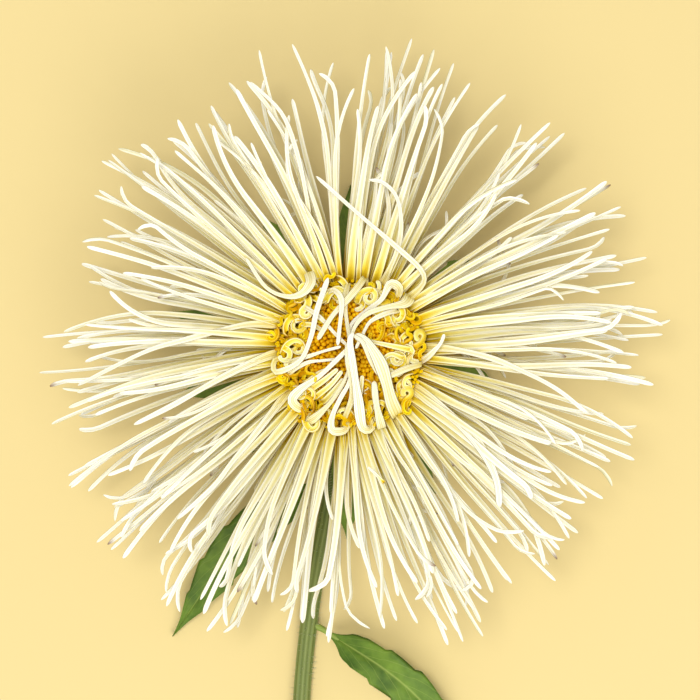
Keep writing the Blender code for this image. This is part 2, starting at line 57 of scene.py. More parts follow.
# Heights above the surface, as in the solids
STEM_RADIUS = 1.7 * MM
NECK_BEND = 12.0 * MM
CUP_BASE = STEM_RADIUS + NECK_BEND + GAP
CUP_TOP = 21.6 * MM
CORE_BASE = CUP_TOP + GAP
CORE_TOP = 28.4 * MM
EYE_BASE = CORE_TOP + GAP
DISC_HEIGHT = 2.6 * MM

# Radii from the bloom's axis
BLOOM_REACH = 57.0 * MM
CORE_RADIUS = 12.6 * MM
ROOT_DEPTH = 1.6 * MM
CUP_RADIUS = 11.2 * MM
DISC_RADIUS = 10.2 * MM
RING_INNER = DISC_RADIUS + GAP
RING_OUTER = 12.2 * MM

# The bloom's axis stands in the middle of the eye
EYE_LOW, EYE_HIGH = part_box("disc_florets")
AXIS = Vector(((EYE_LOW.x + EYE_HIGH.x) / 2, (EYE_LOW.y + EYE_HIGH.y) / 2, 0))

# Whorls of ray petals from the lowest up, as (count, root height in millimetres, rise in degrees, droop,
# share of the reach)
WHORLS = ((44, 22.8, 3, 0.11, 1), (44, 23.7, 12, 0.13, 0.98), (42, 24.6, 22, 0.19, 0.96),
          (38, 25.5, 32, 0.3, 0.9), (34, 26.3, 42, 0.46, 0.82))
SOLID_LENGTHS = (0.86, 1.02)
PETAL_WIDTH = 1.5 * MM
WAVE = 0.4
# How the solids' petals and the finer in-fill petals stray from those rules: the turn from whorl to whorl
# and the jitter in steps between petals, the share of the way that tips gather to a clump, shares of the
# droop and the width, and the rest in millimetres or degrees, as (lowest, highest) or as a spread
SOLID_PETALS = {
    "turn": 0.37, "jitter": 0.3, "gather": 0.35, "height": (-0.15, 0.15), "rise": 4, "droop": (0.7, 1.3),
    "lean": 2.2, "hook": 1.8, "lift": 1.4, "width": (0.85, 1.15), "twist": 22}
FINER_PETALS = {
    "turn": 0.2, "jitter": 0.45, "gather": 0.3, "height": (-0.3, 0.5), "rise": 5, "droop": (0.8, 1.3),
    "lean": 2.1, "hook": 2.2, "lift": 1, "width": (0.68, 0.98), "twist": 18}
# In-fill petals as (whorl, count, shortest and longest as shares of a petal's reach)
INFILL = ((0, 22, 0.9, 1.04), (1, 24, 0.9, 1.05), (2, 32, 0.8, 1.06), (3, 38, 0.66, 1.04),
          (4, 40, 0.66, 1.04), (0, 26, 0.5, 0.64), (1, 26, 0.5, 0.64), (1, 22, 0.42, 0.54),
          (2, 12, 0.42, 0.5))
# In-fill petals of this many low whorls stay this many degrees clear of the bracts' tips
LOW_WHORLS = 3
BRACT_WINDOW = 3.5
# Where the outline of the bloom falls back, as (angle, depth in millimetres)
NOTCHES = ((42, 3), (64, 3), (104, 2), (120, 6), (152, 2), (166, 3), (197, 3.5), (212, 3.5), (255, 2.5),
           (267, 3.5), (300, 6), (328, 3.5), (346, 3.5))
NOTCH_SPAN = 5
# How far the petals that grow side by side all lean by their tips, as (angle of the root, lean in degrees)
SWEEPS = ((0, -1), (12, -7), (22, -9), (38, -7), (52, -6), (64, 4), (78, -3), (92, -8), (103, 6),
          (117, 6), (128, 2), (142, 5), (152, 1), (161, 8), (178, 6), (195, 7), (210, 7), (222, 1),
          (240, 5), (258, 1), (270, 4), (284, 7), (300, -3), (316, 1), (340, -4), (360, -1))
# The angles that the tips of neighbouring petals gather towards
CLUMPS = (5, 18, 29, 48, 59, 76, 90, 110, 118, 130, 142, 153, 166, 180, 191,
          205, 218, 232, 246, 257, 269, 285, 293, 307, 321, 331, 341, 355)

# Single ray petals that bend across the others, as (width, points from root to tip), all in millimetres:
# each point is x, y and the height over the core
STRAYS = (
    (1.1, ((8.9, 8.6, -1), (11.6, 10.6, 2.5), (13.2, 12.6, 6), (12.4, 14.8, 9), (8.1, 18.6, 11.5),
           (0.3, 25.2, 14.5), (-5.9, 30.6, 17))),
    (1.1, ((5.2, 10.9, -1), (6.9, 14.5, 2.5), (8.5, 18.5, 7), (9, 23.1, 11.5), (8.1, 27.2, 14.5),
           (5.7, 29.6, 16), (3.3, 30, 16.5))),
    (1.1, ((-6.2, 10.6, -1), (-7.4, 14.2, 3.2), (-7, 12.4, 6.4), (-8.6, 10.4, 6.8), (-11.4, 9.9, 7.2),
           (-15, 11.6, 8.2), (-18.4, 16.6, 10.5))),
    (1.1, ((12.2, -2, -1), (13.8, -1, 2.6), (15, 0.2, 4.6), (16.2, 1.6, 5.6), (16.8, 3.2, 6.2))),
    (1.1, ((7.2, -10, -1), (10.5, -18.5, 3), (16, -27.8, 6.5), (19.4, -35, 8), (21.8, -39.8, 8),
           (21.2, -41.8, 7), (19.6, -42.6, 6))),
    (1.1, ((-1.6, 11.9, -1), (-2.6, 19, 3), (-3.4, 27.5, 6.5), (-4.1, 36.2, 9), (-5.7, 43.3, 10.5),
           (-7.9, 49.2, 11), (-10.2, 54.4, 10.5))),
    (1.1, ((-4.4, 11.3, -1), (-6.6, 19.5, 3), (-7.8, 28, 6.5), (-9.6, 36, 9), (-12.2, 42.4, 10),
           (-17.6, 47.8, 9.5))),
    (2.2, ((10.6, -5.6, -1), (14.6, -8.8, 3.6), (19.1, -12.4, 7.4), (23, -16.7, 10.2), (25.7, -22.3, 11.8),
           (26.3, -27.3, 12.4))),
    (1.2, ((12.2, 0.9, -1), (17.8, 0.6, 4.2), (24.5, -0.9, 8.2), (29.9, -3.1, 10.6), (36.2, -6.4, 12.4),
           (41.8, -10.8, 12.6))),
    (1.2, ((-11, 4.9, -1), (-17.6, 5, 4.2), (-22.5, 4, 7.2), (-29.4, 2.1, 10.2), (-36.2, 0, 11.6),
           (-48.1, -5.9, 10))),
    (1.4, ((-12, -0.2, -1), (-15, -0.8, 2.2), (-22.4, -4.3, 7), (-31, -9.2, 10.4), (-38.1, -12.8, 11.4))),
    (1.3, ((-10.4, -6, -1), (-15.8, -13.2, 5.6), (-20.8, -19.4, 9.4), (-24.2, -23.8, 11),
           (-30.5, -29.5, 10.6))),
)
# Where each of the STRAYS flares, as (share of its width, place along it)
STRAY_FLARES = ((0.5, 0), (0.5, 0), (1.1, 0.3), (0.4, 0.4), (0.5, 0), (0.3, 0), (0.3, 0), (0.15, 0.2),
                (0.4, 0.1), (0.4, 0.1), (0.5, 0.1), (0.5, 0.1))
# A short petal that only the looks have, with its yellow foot outwards, in the same measures
LOOSE_PETAL = ((6, -23, 11.4), (5.6, -22.6, 11.8), (4.4, -21.4, 11.8), (3.2, -20.3, 11.2))
LOOSE_WIDTH = 0.7 * MM

# Petals of the innermost whorl, bent in over the eye, in the same measures
STRAPS = (
    ((-11.6, -0.9, 0.6), (-13.6, -1.6, 2.2), (-13.2, -3.6, 3.6), (-9, -1.6, 5), (-7, 2.6, 6.2),
     (-5.9, 7.4, 6.8), (-3.9, 13.2, 6.4)),
    ((2.6, 11.4, 0.6), (2.6, 13.2, 2.6), (1.4, 11.6, 4.6), (-0.6, 9.2, 5.4), (-3.2, 6.4, 5.6),
     (-5.8, 2.2, 5.2)),
    ((-4.6, 10.6, 0.6), (-4, 10.8, 3), (-2.7, 11, 4.8), (-1.5, 9, 5.8), (-1.9, 4, 6.4), (-2.2, 1.2, 6.4)),
    ((-8.4, 8.2, 0.6), (-8, 8, 3.4), (-5.4, 6.2, 4.6), (-2.6, 3.2, 5.4), (-0.6, 1.2, 6.2)),
    ((0, 11.6, 0.6), (-0.4, 12, 3), (-0.9, 8.6, 4.8), (-0.4, 4.4, 6.2), (0.2, 1.4, 7)),
    ((8, 8.4, 0.6), (8.9, 11.2, 2.4), (7.2, 12.2, 4), (5.6, 9.4, 5), (3, 7.4, 5.4), (0.4, 5.2, 5.8),
     (-0.4, 2.6, 6)),
    ((8.6, 7.9, 0.6), (10.6, 9.8, 2.6), (9.8, 8.7, 4.8), (6.6, 8, 5.8), (3, 6.8, 6.4), (0.7, 4.2, 7.2),
     (0.1, 0.6, 8.2)),
    ((8.6, 7.6, 0.6), (8.4, 7.4, 3.2), (6.4, 6.9, 4.8), (3.6, 5.4, 5.8), (2.2, 3, 6.8), (1, 0.6, 7.6)),
    ((-7.6, -8.8, 0.6), (-8.9, -10.2, 2.2), (-10.4, -8.6, 3.8), (-8.8, -6.6, 4.6), (-5.6, -4.4, 5.2),
     (-3.2, -2.2, 6), (-0.6, 0.4, 7.2), (0.4, 1.8, 7.4)),
    ((-6.2, -10.2, 0.6), (-7.4, -12.4, 2.8), (-5.4, -11, 4.4), (-2.7, -8, 5), (-0.6, -4.2, 5.8),
     (0.2, -0.6, 7.4)),
    ((-0.2, -11.7, 0.6), (-0.9, -14, 2.4), (-3.2, -14, 3.8), (-3.2, -11.6, 4.8), (-1.8, -8.4, 5.6),
     (-0.2, -5.4, 6.2), (0.4, -1.4, 7.8)),
    ((2.8, -11.4, 0.6), (3.8, -13.6, 2.6), (2.2, -13.4, 4.4), (1.4, -8, 6), (0.7, -3.4, 7.4), (0, 1.8, 8.8),
     (0.6, 3.4, 8.6)),
    ((-0.8, -11.6, 0.6), (-0.8, -11.4, 3.2), (0.4, -8, 5), (0.1, -4.6, 6.6), (-0.5, -1.6, 7.8),
     (-0.6, 1.6, 8.2)),
    ((11.4, -2.4, 0.6), (12.8, -2.2, 2.6), (10, -3, 4.6), (6, -4.4, 5.4), (4, -2.2, 6.4), (2.2, 1.8, 8),
     (0.2, 3.2, 8)),
    ((7, -9.4, 0.6), (8.4, -11.2, 2.6), (7.4, -8.8, 4.6), (6.4, -5, 5.8), (5.2, -1.6, 6.8), (3, 1.8, 7.6),
     (0.8, 3, 7.8)),
    ((4.7, -10.8, 0.6), (5.7, -13.6, 2.6), (5.2, -11.6, 4.6), (4.6, -8.6, 5.2), (4.3, -5.2, 5.2)),
    ((-11, -2.6, 0.6), (-10.4, -1.6, 3.2), (-7.6, -0.8, 4.4), (-4.6, 0.2, 5.2), (-1.6, 1, 6.4)),
    ((-10.9, -4, 0.6), (-10.6, -3.6, 3), (-7.7, -1.9, 4.2), (-4.8, -1.5, 4.9), (-2, -1.2, 5.6)),
)
# How wide each of the STRAPS is, as (millimetres, share by which it flares, place of the flare)
STRAP_FORMS = ((1.05, 0.7, 0.9), (1.3, 0.2, 0.3), (1.05, 0.1, 0.4), (0.95, 0.2, 0.3), (1.05, 0.1, 0.5),
               (1, 0.9, 0.3), (1.1, 1, 0.22), (0.9, 0.2, 0.3), (1.2, 0.8, 0.22), (1.05, 0.5, 0.25),
               (1.1, 0.45, 0.3), (1.75, 0.15, 0.45), (1.1, 0.1, 0.5), (1.1, 0.3, 0.3), (2.5, 0.15, 0.6),
               (1.6, 0.35, 0.2), (0.9, 0, 0.5), (0.85, 0, 0.5))
# Short florets that lie below the STRAPS inside the ring, in the same measures, and their width
TONGUES = (
    ((-7.6, -7.4, 0.6), (-6.9, -6.6, 3), (-4.6, -5, 4.4), (-2.2, -3, 4.6)),
    ((-6.6, -8.4, 0.6), (-5.6, -7.6, 3.2), (-3.4, -5.8, 4.4), (-1.4, -3.4, 4.8)),
    ((-5.4, -9.2, 0.6), (-4.4, -8.6, 3.2), (-2.6, -6.6, 4.2), (-1.2, -4.8, 4.6)),
    ((-8.8, -5.8, 0.6), (-7.6, -5.4, 2.8), (-5.8, -3.9, 3.8), (-4, -3, 4)),
    ((11.4, 0.4, 0.6), (10.4, 0.5, 3.4), (7, 1.2, 4.6), (3.2, 2, 5.4)),
    ((10.6, -1.2, 0.6), (9.2, -1, 3.6), (7.4, -0.4, 4.4), (6, -1.4, 4.2), (6.4, -3, 3.6)),
    ((1.6, -10.8, 0.6), (1.4, -9.6, 3.4), (1.9, -6.6, 4.2), (2.2, -4.2, 4.4)),
    ((-9.2, 5.6, 0.6), (-8.2, 5, 3), (-6.6, 4.8, 3.8), (-4.6, 3.6, 4.2)),
)
TONGUE_WIDTH = 1.25 * MM

# The curls of the solids
CURLS = 20
CURL_STEPS = 5
# Curls that the photo shows one by one, as (x, y and height over the core of their feet in millimetres,
# heading in degrees, length in millimetres, how far each part of them turns in degrees)
SHOWN_CURLS = (
    (-11.6, 3.6, 2.6, 110, 13, (-80, -110, -150, -180)), (-12, 0.2, 2.4, 80, 9, (-60, -120, -170)),
    (-9.5, 9.3, 2.4, -20, 10, (150, -200, 210, -190)), (-7.6, 9.6, 3, -60, 7, (-90, 170, 160)),
    (-4.3, 9.3, 3.2, 80, 8, (-50, -110, -130)), (-1.8, 13.2, 2.6, -30, 6, (-40, -80, -160)),
    (-1.1, 9.3, 3.4, 60, 7.5, (-60, -90, -120)), (1.4, 9.3, 3.2, 90, 10, (-90, -150, -200)),
    (3.9, 11.1, 2.8, 0, 6, (-120, -160)), (6.8, 5.4, 3.2, 60, 14, (140, -220, 230, -200, 160)),
    (7.5, 3, 3, 20, 12, (-160, 220, -210, 190)), (9, 8.2, 2.6, -30, 8, (-100, -140, 180)),
    (11.8, 1, 2.8, 20, 7.5, (40, 170, 170)), (6.1, -2.5, 2.8, 70, 9, (-80, -120, -150)),
    (9, -2.6, 2.8, 20, 8, (120, 160, 190)), (1.6, -5.7, 3, 60, 5, (-120, -150)),
    (8.8, -8.6, 2.4, -20, 7, (60, 150, 180)), (-5, -8.2, 2.6, 30, 8, (60, -150, -160)),
    (-8, -11.6, 1.8, -100, 8, (60, 140, 160)), (3.4, -10.4, 2.4, 100, 7, (90, -160, -170)),
)
# Small curls as (distance from the axis in millimetres, count)
SMALL_CURLS = ((7.6, 8), (9.2, 20), (10.6, 36), (11.9, 48), (13, 34))
SMALL_LENGTHS = (4.2, 7.8)
# How far a small curl turns in each third of its length, in degrees
CURL_PLANS = ((90, 150, 200), (20, 80, 170), (130, -100, -170), (120, -150, 150), (60, 130, 130))
# How many points each part of a curl has, and how far its ribbon stands up on its edge
CURL_RUN = 8
CURL_CUP = 20
# Lowest and highest widths of the solids' curls, of SHOWN_CURLS and of the small curls, in millimetres
CURL_WIDTHS = (1.15, 1.5)
SHOWN_WIDTHS = (1.4, 1.8)
SMALL_WIDTHS = (0.85, 1.25)

# How many points each piece has along its line
RAY_POINTS, STRAP_POINTS, CURL_POINTS, SCALE_POINTS, BRACT_POINTS, LEAF_POINTS = 32, 34, 26, 16, 26, 44
STALK_POINTS, STEM_POINTS, CUP_POINTS = 8, 110, 14
# How many points each piece has round its line
CORE_SIDES, BED_SIDES, CUP_SIDES, STEM_SKIN_SIDES = 64, 48, 72, 40
TUBE_SIDES, BUD_SIDES, STALK_SIDES, HAIR_SIDES = 8, 10, 10, 3
# Thicknesses of the petals and florets, and where along them their tips start to round off
PETAL_DEPTH = 0.6 * MM
STRAP_DEPTH = 0.36 * MM
CURL_DEPTH = 0.62 * MM
TIP_START = 0.965
STRAP_TIP_START = 0.95
# How much strays and straps widen and narrow along their length, and how many times
CREASE_DEPTH = 0.11
CREASE_WAVES = 2.3
# How far a fine petal wanders from its rule, in millimetres, and how many times. Without a seed of its own,
# Blender's noise_vector takes one from the clock and differs from run to run
WANDER = 0.45
WANDER_WAVES = 1.8
NOISE_SEED = 1
MOST_TWIST = 30.0
UPPER_WIDER = 1.08
# Tips that end in a hook: how many of them, how large in millimetres, and where along a petal they start
HOOKED_SHARE = 0.2
HOOK_SIZES = (1, 3)
HOOK_START = 0.88
# Brown tips: how many of the petals shorter than SHORT_REACH and of the rest have one, and where it starts
SHORT_REACH = 40.0 * MM
BROWN_SHORT = 0.25
BROWN_LONG = 0.035
BROWN_START = 0.955
NEVER = 2.0
# How far along its colours each whorl's petals start: the lower ones stay yellow further out, as painted
# shade on the petals below the others
WHORL_PALER = (-0.14, -0.10, -0.06, -0.02, 0.02)

# The tubes that the curls grow from, and their rings as (share of the radius, share of the height, colour)
RING_TUBES = 460
TUBE_RADIUS = 0.27 * MM
TUBE_RINGS = ((0.75, 0, 0), (0.85, 0.45, 0.12), (1.1, 0.8, 0.25), (0.85, 1, 0.4), (0.3, 0.92, 0.2))
# The eye's buds, and their rings in the same measures
DISC_BUDS = 540
BUD_RADIUS = 0.46 * MM
BUD_LOBES = 5
BUD_RINGS = ((1, 0, 0), (1.05, 0.35, 0.3), (0.98, 0.75, 0.6), (0.55, 0.95, 0.85), (0.15, 1.15, 1))

# Leafy outer bracts as (angle, reach in millimetres)
BRACTS = ((37, 28.8), (70, 29.6), (88, 31.9), (121, 30.8), (166, 35.8), (195, 34),
          (222, 30.6), (270, 36), (300, 31.7), (326, 30.4), (350, 28))
BRACT_WIDTH = 5.6 * MM
BRACT_DEPTH = 0.55 * MM
SCALES = 12
SCALE_REACH = 16.5 * MM
SCALE_HALF = 1.9 * MM
SCALE_DEPTH = 0.5 * MM
# The cup's outline as (radius, height), and its ribs
CUP_OUTLINE = ((2.0 * MM, CUP_BASE), (3.2 * MM, CUP_BASE + 1.2 * MM), (7.4 * MM, 17.4 * MM),
               (10.4 * MM, 19.6 * MM), (CUP_RADIUS, CUP_TOP))
CUP_RIBS = 18
CUP_RIB_DEPTH = 0.03

STEM_END = 108.0 * MM
STEM_SIDES = 8
STEM_LEAN = 9.5 * MM
STEM_RIBS = 10
STEM_HAIRS = 900
# The stem's flattened underside lies this far over the surface
STEM_SEAT = 0.03 * MM
# Stem leaves as (root y, tip x, tip y, half width, height of the arch), all in millimetres
STEM_LEAVES = ((-24, -34, -54.5, 4.6, 5), (-53, 25, -80, 4.2, 6.5), (-79, -26, -103, 3.6, 5))
LEAF_ROOT_HALF = 0.7 * MM
LEAF_DEPTH = 0.6 * MM
LEAF_TEETH = 6.5
# Where a leaf's stalk ends
STALK_END = 0.16
# Hairs along the edges of leaves: from which station on, at which shares of the way to the next one, how far
# out on the blade, how they lean forward and up or down, how low they grow, and their length and radius
BRACT_FRINGE = {"first": 2, "parts": (0, 0.5), "out": 0.97, "lean": 0.5, "rise": 0.3, "lowest": 0.6 * MM,
                "lengths": (0.7, 1.3), "radius": 0.045 * MM}
LEAF_FRINGE = {"first": 5, "parts": (0,), "out": 0.98, "lean": 0.6, "rise": 0, "lowest": 0.3 * MM,
               "lengths": (0.5, 0.9), "radius": 0.04 * MM}

# The photo's frame: its width at the petals' height, that height, and how far the axis is below its middle
FRAME_WIDTH = 125.3 * MM
FRAME_HEIGHT_OVER_SURFACE = 33.0 * MM
BLOOM_BELOW_CENTRE = 0.36 * MM
CAMERA_DISTANCE = 0.45
SENSOR_WIDTH = 36.0
# Area lights as (name, offset from the bloom, diameter, power, colour)
LIGHTS = (("key", (-0.10, 0.06, 0.77), 0.18, 2.8, (1.0, 0.99, 0.97)),
          ("fill", (0.12, -0.42, 0.58), 0.50, 2.4, (1.0, 0.98, 0.95)))
SURROUND = (1.0, 0.99, 0.96, 1)
SURROUND_STRENGTH = 0.64
FLOOR_HALF = 1.5
FLOOR_COLOUR = (220, 200, 142)


def bearing(angle):
    """The outward and the sideways unit vectors at an angle round the bloom, in degrees."""
    a = math.radians(angle)
    return Vector((math.cos(a), math.sin(a), 0)), Vector((-math.sin(a), math.cos(a), 0))


def turn_between(angle, other):
    """The signed turn from one angle to another, in degrees."""
    return (other - angle + 180) % 360 - 180


def outline_reach(angle):
    """How far the petals reach at an angle round the bloom."""
    dips = (depth * MM * math.exp(-((turn_between(angle, at) / NOTCH_SPAN) ** 2)) for at, depth in NOTCHES)
    return BLOOM_REACH - sum(dips)


def tip_lean(angle, gather):
    """A petal's lean in degrees: that of its place, and gather of the turn on to the nearest clump."""
    angle = angle % 360
    for (start, lean), (end, next_lean) in zip(SWEEPS, SWEEPS[1:]):
        if start <= angle <= end:
            sweep = lean + (next_lean - lean) * (angle - start) / (end - start)
    nearest = min((turn_between(angle + sweep, c) for c in CLUMPS), key=abs)
    return sweep + gather * nearest


def over_bract(angle):
    """Whether a petal at an angle would cover the tip of a bract."""
    return any(abs(turn_between(angle, at)) < BRACT_WINDOW for at, _ in BRACTS)


def grow_petals(draw, whorl, count, lengths, spread, keep_clear=False):
    """Petals of a whorl, as dictionaries of what shapes their lines. keep_clear leaves bracts' tips open."""
    _, height, rise, droop, share = WHORLS[whorl]
    petals = []
    for k in range(count):
        angle = (k + spread["turn"] * whorl + draw.uniform(-spread["jitter"], spread["jitter"])) * 360 / count
        lean = tip_lean(angle, spread["gather"])
        reach = outline_reach(angle + lean) * share * draw.uniform(*lengths)
        if keep_clear and over_bract(angle + lean / 2):
            continue
        petals.append({
            "whorl": whorl,
            "angle": angle,
            "reach": reach,
            "height": height * MM + draw.uniform(*spread["height"]) * MM,
            "slope": math.tan(math.radians(rise + draw.uniform(-spread["rise"], spread["rise"]))),
            "droop": droop * draw.uniform(*spread["droop"]),
            "lean": reach * math.radians(lean) + draw.gauss(0, spread["lean"]) * MM,
            "wave": draw.gauss(0, WAVE) * MM,
            "phase": draw.random(),
            "hook": draw.gauss(0, spread["hook"]) * MM,
            "lift": draw.gauss(0, spread["lift"]) * MM,
            "width": PETAL_WIDTH * draw.uniform(*spread["width"]),
            "twist": draw.gauss(0, spread["twist"]),
        })
    return petals


def outward_petals():
    """Every petal that grows outwards: those of the solids, and then the in-fill petals between them."""
    petals = []
    draw = random.Random(7)
    for whorl, (count, *_) in enumerate(WHORLS):
        petals += grow_petals(draw, whorl, count, SOLID_LENGTHS, SOLID_PETALS)
    draw = random.Random(19)
    for whorl, count, *lengths in INFILL:
        petals += grow_petals(draw, whorl, count, lengths, FINER_PETALS, whorl < LOW_WHORLS)
    return petals


def petal_point(petal, s):
    """The middle line of a ray petal, from its root at s = 0 to its tip at s = 1."""
    out, side = bearing(petal["angle"])
    root = CORE_RADIUS - ROOT_DEPTH
    run = petal["reach"] - root
    end = max(0.0, (s - 0.6) / 0.4) ** 2
    waver = petal["wave"] * math.sin(2 * math.pi * (0.8 * s + petal["phase"])) * s
    sideways = petal["lean"] * s**1.5 + waver + petal["hook"] * end
    height = petal["height"] + run * (petal["slope"] * s - petal["droop"] * s * s) + petal["lift"] * end
    outwards = root + run * s - 0.12 * abs(petal["hook"]) * end
    return out * outwards + side * sideways + UP * height


def round_tip(s, start):
    """The share of its width that a petal has left at s, where its tip rounds off from start on."""
    return max(0.2, math.sqrt(max(0.0, 1 - max(0.0, (s - start) / (1 - start)) ** 2)))


def petal_half_width(width, s):
    """Half the width of a ray petal: widest by its root, narrower from the middle on."""
    belly = 0.68 + 0.48 * math.exp(-((s / 0.42) ** 2)) - 0.28 * max(0.0, s - 0.6)
    return 0.5 * width * belly * round_tip(s, TIP_START)


def strap_half_width(width, s):
    """Half the width of a floret, or of a petal over the eye before it flares: narrower towards its tip."""
    return 0.5 * width * (1.08 - 0.45 * s) * round_tip(s, STRAP_TIP_START)


def flared(share, place):
    """The shape of a stray petal or one over the eye: creased, and broader by share round a place on it."""
    def half_width(width, s):
        creases = 1 + CREASE_DEPTH * math.sin(CREASE_WAVES * 2 * math.pi * (s + share + place))
        return strap_half_width(width, s) * creases * (1 + share * math.exp(-(((s - place) / 0.16) ** 2)))
    return half_width


def smooth_line(points, count):
    """A Catmull-Rom curve through points, read at count places evenly spread along it."""
    padded = [points[0] * 2 - points[1], *points, points[-1] * 2 - points[-2]]
    fine = []
    for a, b, c, d in zip(padded, padded[1:], padded[2:], padded[3:]):
        for step in range(12):
            t = step / 12
            fine.append(0.5 * (2 * b + (c - a) * t + (2 * a - 5 * b + 4 * c - d) * t**2
                               + (3 * b - a - 3 * c + d) * t**3))
    fine.append(points[-1])
    travelled = [0.0]
    for a, b in zip(fine, fine[1:]):
        travelled.append(travelled[-1] + (b - a).length)
    line = []
    for i in range(count):
        goal = travelled[-1] * i / (count - 1)
        k = min(max(j for j, run in enumerate(travelled) if run <= goal + 1e-12), len(fine) - 2)
        share = (goal - travelled[k]) / max(1e-12, travelled[k + 1] - travelled[k])
        line.append(fine[k].lerp(fine[k + 1], min(1.0, share)))
    return line


def line_over_core(points, stations):
    """The smooth curve through points given in millimetres over the core, read at stations from 0 to 1."""
    return read_line([Vector((x * MM, y * MM, CORE_TOP + z * MM)) for x, y, z in points], stations)


def read_line(points, stations):
    """The smooth curve through points, read at stations from 0 to 1."""
    even = np.array([tuple(p) for p in smooth_line(points, 90)])
    places = np.linspace(0, 1, len(even))
    return [Vector(p) for p in np.stack([np.interp(stations, places, even[:, i]) for i in range(3)], -1)]


def solid_curls():
    """The solids' short inner florets, each a spiral that rises from the ring, as its line and its plane."""
    draw = random.Random(21)
    lines = []
    for k in range(CURLS):
        out, side = bearing((k + draw.uniform(-0.25, 0.25)) * 360 / CURLS)
        root = out * (0.5 * (RING_INNER + RING_OUTER)) + UP * (EYE_BASE + 0.5 * MM)
        rise = draw.uniform(1.0, 1.9) * MM
        lean = draw.uniform(-1.3, 0.5) * MM
        size = draw.uniform(1.1, 1.6) * MM
        hand = draw.choice((-1, 1))
        tilt = math.radians(draw.uniform(10, 45))
        across = -out * math.cos(tilt) + UP * math.sin(tilt)
        centre = root + UP * rise + out * lean + side * (hand * size)
        line = [root]
        for step in range(CURL_STEPS + 1):
            turn = math.radians(180 - 265 * step / CURL_STEPS)
            shrink = size * (1 - 0.45 * step / CURL_STEPS)
            sideways = side * (hand * shrink * math.cos(turn))
            line.append(centre + sideways + across * (shrink * math.sin(turn)))
        lines.append((line, across.cross(side * hand).normalized()))
    return lines


def dome_height(radius):
    """Height of the eye's dome at a distance from its axis."""
    return EYE_BASE + 0.5 * MM + DISC_HEIGHT * (1 - (radius / DISC_RADIUS) ** 2)


def bract_lines():
    """The leafy outer bracts, each as its points and its width; every other one touches the surface."""
    draw = random.Random(5)
    for k, (angle, reach) in enumerate(BRACTS):
        out, side = bearing(angle)
        tip = 0.0 if k % 2 == 0 else draw.uniform(2.5, 6.5) * MM
        sway = draw.uniform(-1.2, 1.2) * MM
        yield (
            out * (CUP_RADIUS - 3 * MM) + UP * 18.6 * MM,
            out * 15 * MM + side * sway * 0.3 + UP * 18.2 * MM,
            out * 22 * MM + side * sway * 0.7 + UP * (12.5 * MM + tip * 0.5),
            out * reach * MM + side * sway + UP * tip,
        ), BRACT_WIDTH * draw.uniform(0.85, 1.1)


def lance(s):
    """Share of its greatest width that a lance-shaped leaf has at s, from root to tip."""
    return 0.34 + 0.66 * math.sin(math.pi * min(1.0, s * 1.05 + 0.02)) ** 0.9


def stem_sway(distance):
    """How far the lying stem has wandered sideways at a distance from the bloom's axis."""
    along = max(0.0, distance - NECK_BEND) / (STEM_END - NECK_BEND)
    return -STEM_LEAN * math.sin(0.75 * math.pi * along)


def stem_line():
    """The stem's middle line: down from the cup, round the neck, and along the surface to its cut end."""
    lying = STEM_RADIUS * math.cos(math.pi / STEM_SIDES)
    line = []
    for step in range(7):
        turn = math.radians(90 * step / 6)
        drop = (STEM_RADIUS + NECK_BEND - lying) * (1 - math.sin(turn))
        line.append(Vector((0, -NECK_BEND * (1 - math.cos(turn)), lying + drop)))
    for step in range(1, 11):
        y = NECK_BEND + (STEM_END - NECK_BEND) * step / 10
        line.append(Vector((stem_sway(y), -y, lying)))
    return line


class Skin:
    """The points, faces and point values of one piece that is made of many closed parts."""

    VALUES = ("along", "across", "under", "tone", "wilt")

    def __init__(self):
        self.points = []
        self.faces = []
        self.values = {name: [] for name in self.VALUES}
        self.count = 0

    def add(self, points, faces, **values):
        """Adds a part: its points, its faces as indices into them, and its values, one or one a point."""
        self.points.append(points)
        self.faces += [tuple(i + self.count for i in face) for face in faces]
        for name in self.VALUES:
            self.values[name].append(np.broadcast_to(values.get(name, 0.0), len(points)).astype(np.float32))
        self.count += len(points)

    def loft(self, rings, along, across=0.0, under=0.0, tone=0.5, wilt=0.0):
        """Adds a closed tube through rings of equally many points, with rounded-off ends.

        along and wilt are one value or one a ring, across and under one value or one a point of a ring."""
        rings = np.asarray(rings, float)
        n, m = rings.shape[:2]
        faces = [(i * m + j, i * m + (j + 1) % m, (i + 1) * m + (j + 1) % m, (i + 1) * m + j)
                 for i in range(n - 1) for j in range(m)]
        for j in range(m):
            k = (j + 1) % m
            faces += [(n * m, k, j), (n * m + 1, (n - 1) * m + j, (n - 1) * m + k)]
        along, wilt = (np.broadcast_to(np.reshape(given, (-1, 1)), (n, m)).ravel() for given in (along, wilt))
        across, under = (np.tile(np.broadcast_to(given, m), n) for given in (across, under))
        self.add(
            np.vstack([rings.reshape(-1, 3), rings[0].mean(0), rings[-1].mean(0)]), faces,
            along=np.append(along, (along[0], along[-1])),
            across=np.append(across, (0, 0)),
            under=np.append(under, (0.5, 0.5)),
            tone=tone,
            wilt=np.append(wilt, (wilt[0], wilt[-1])),
        )

    def piece(self, name, material, slot, *nodes):
        """The finished piece, riding on the flower, in its place over the solids that it stands for."""
        mesh = bpy.data.meshes.new(name)
        mesh.from_pydata((np.concatenate(self.points) + np.array(AXIS)).tolist(), [], self.faces)
        for key in self.VALUES:
            attribute = mesh.attributes.new(key, "FLOAT", "POINT")
            attribute.data.foreach_set("value", np.concatenate(self.values[key]))
        mesh.shade_smooth()
        mesh.materials.append(material)
        obj = show(name, mesh)
        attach(obj, "root")
        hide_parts(*nodes)


def show(name, data):
    """A new object in the scene."""
    obj = bpy.data.objects.new(name, data)
    bpy.context.scene.collection.objects.link(obj)
    return obj


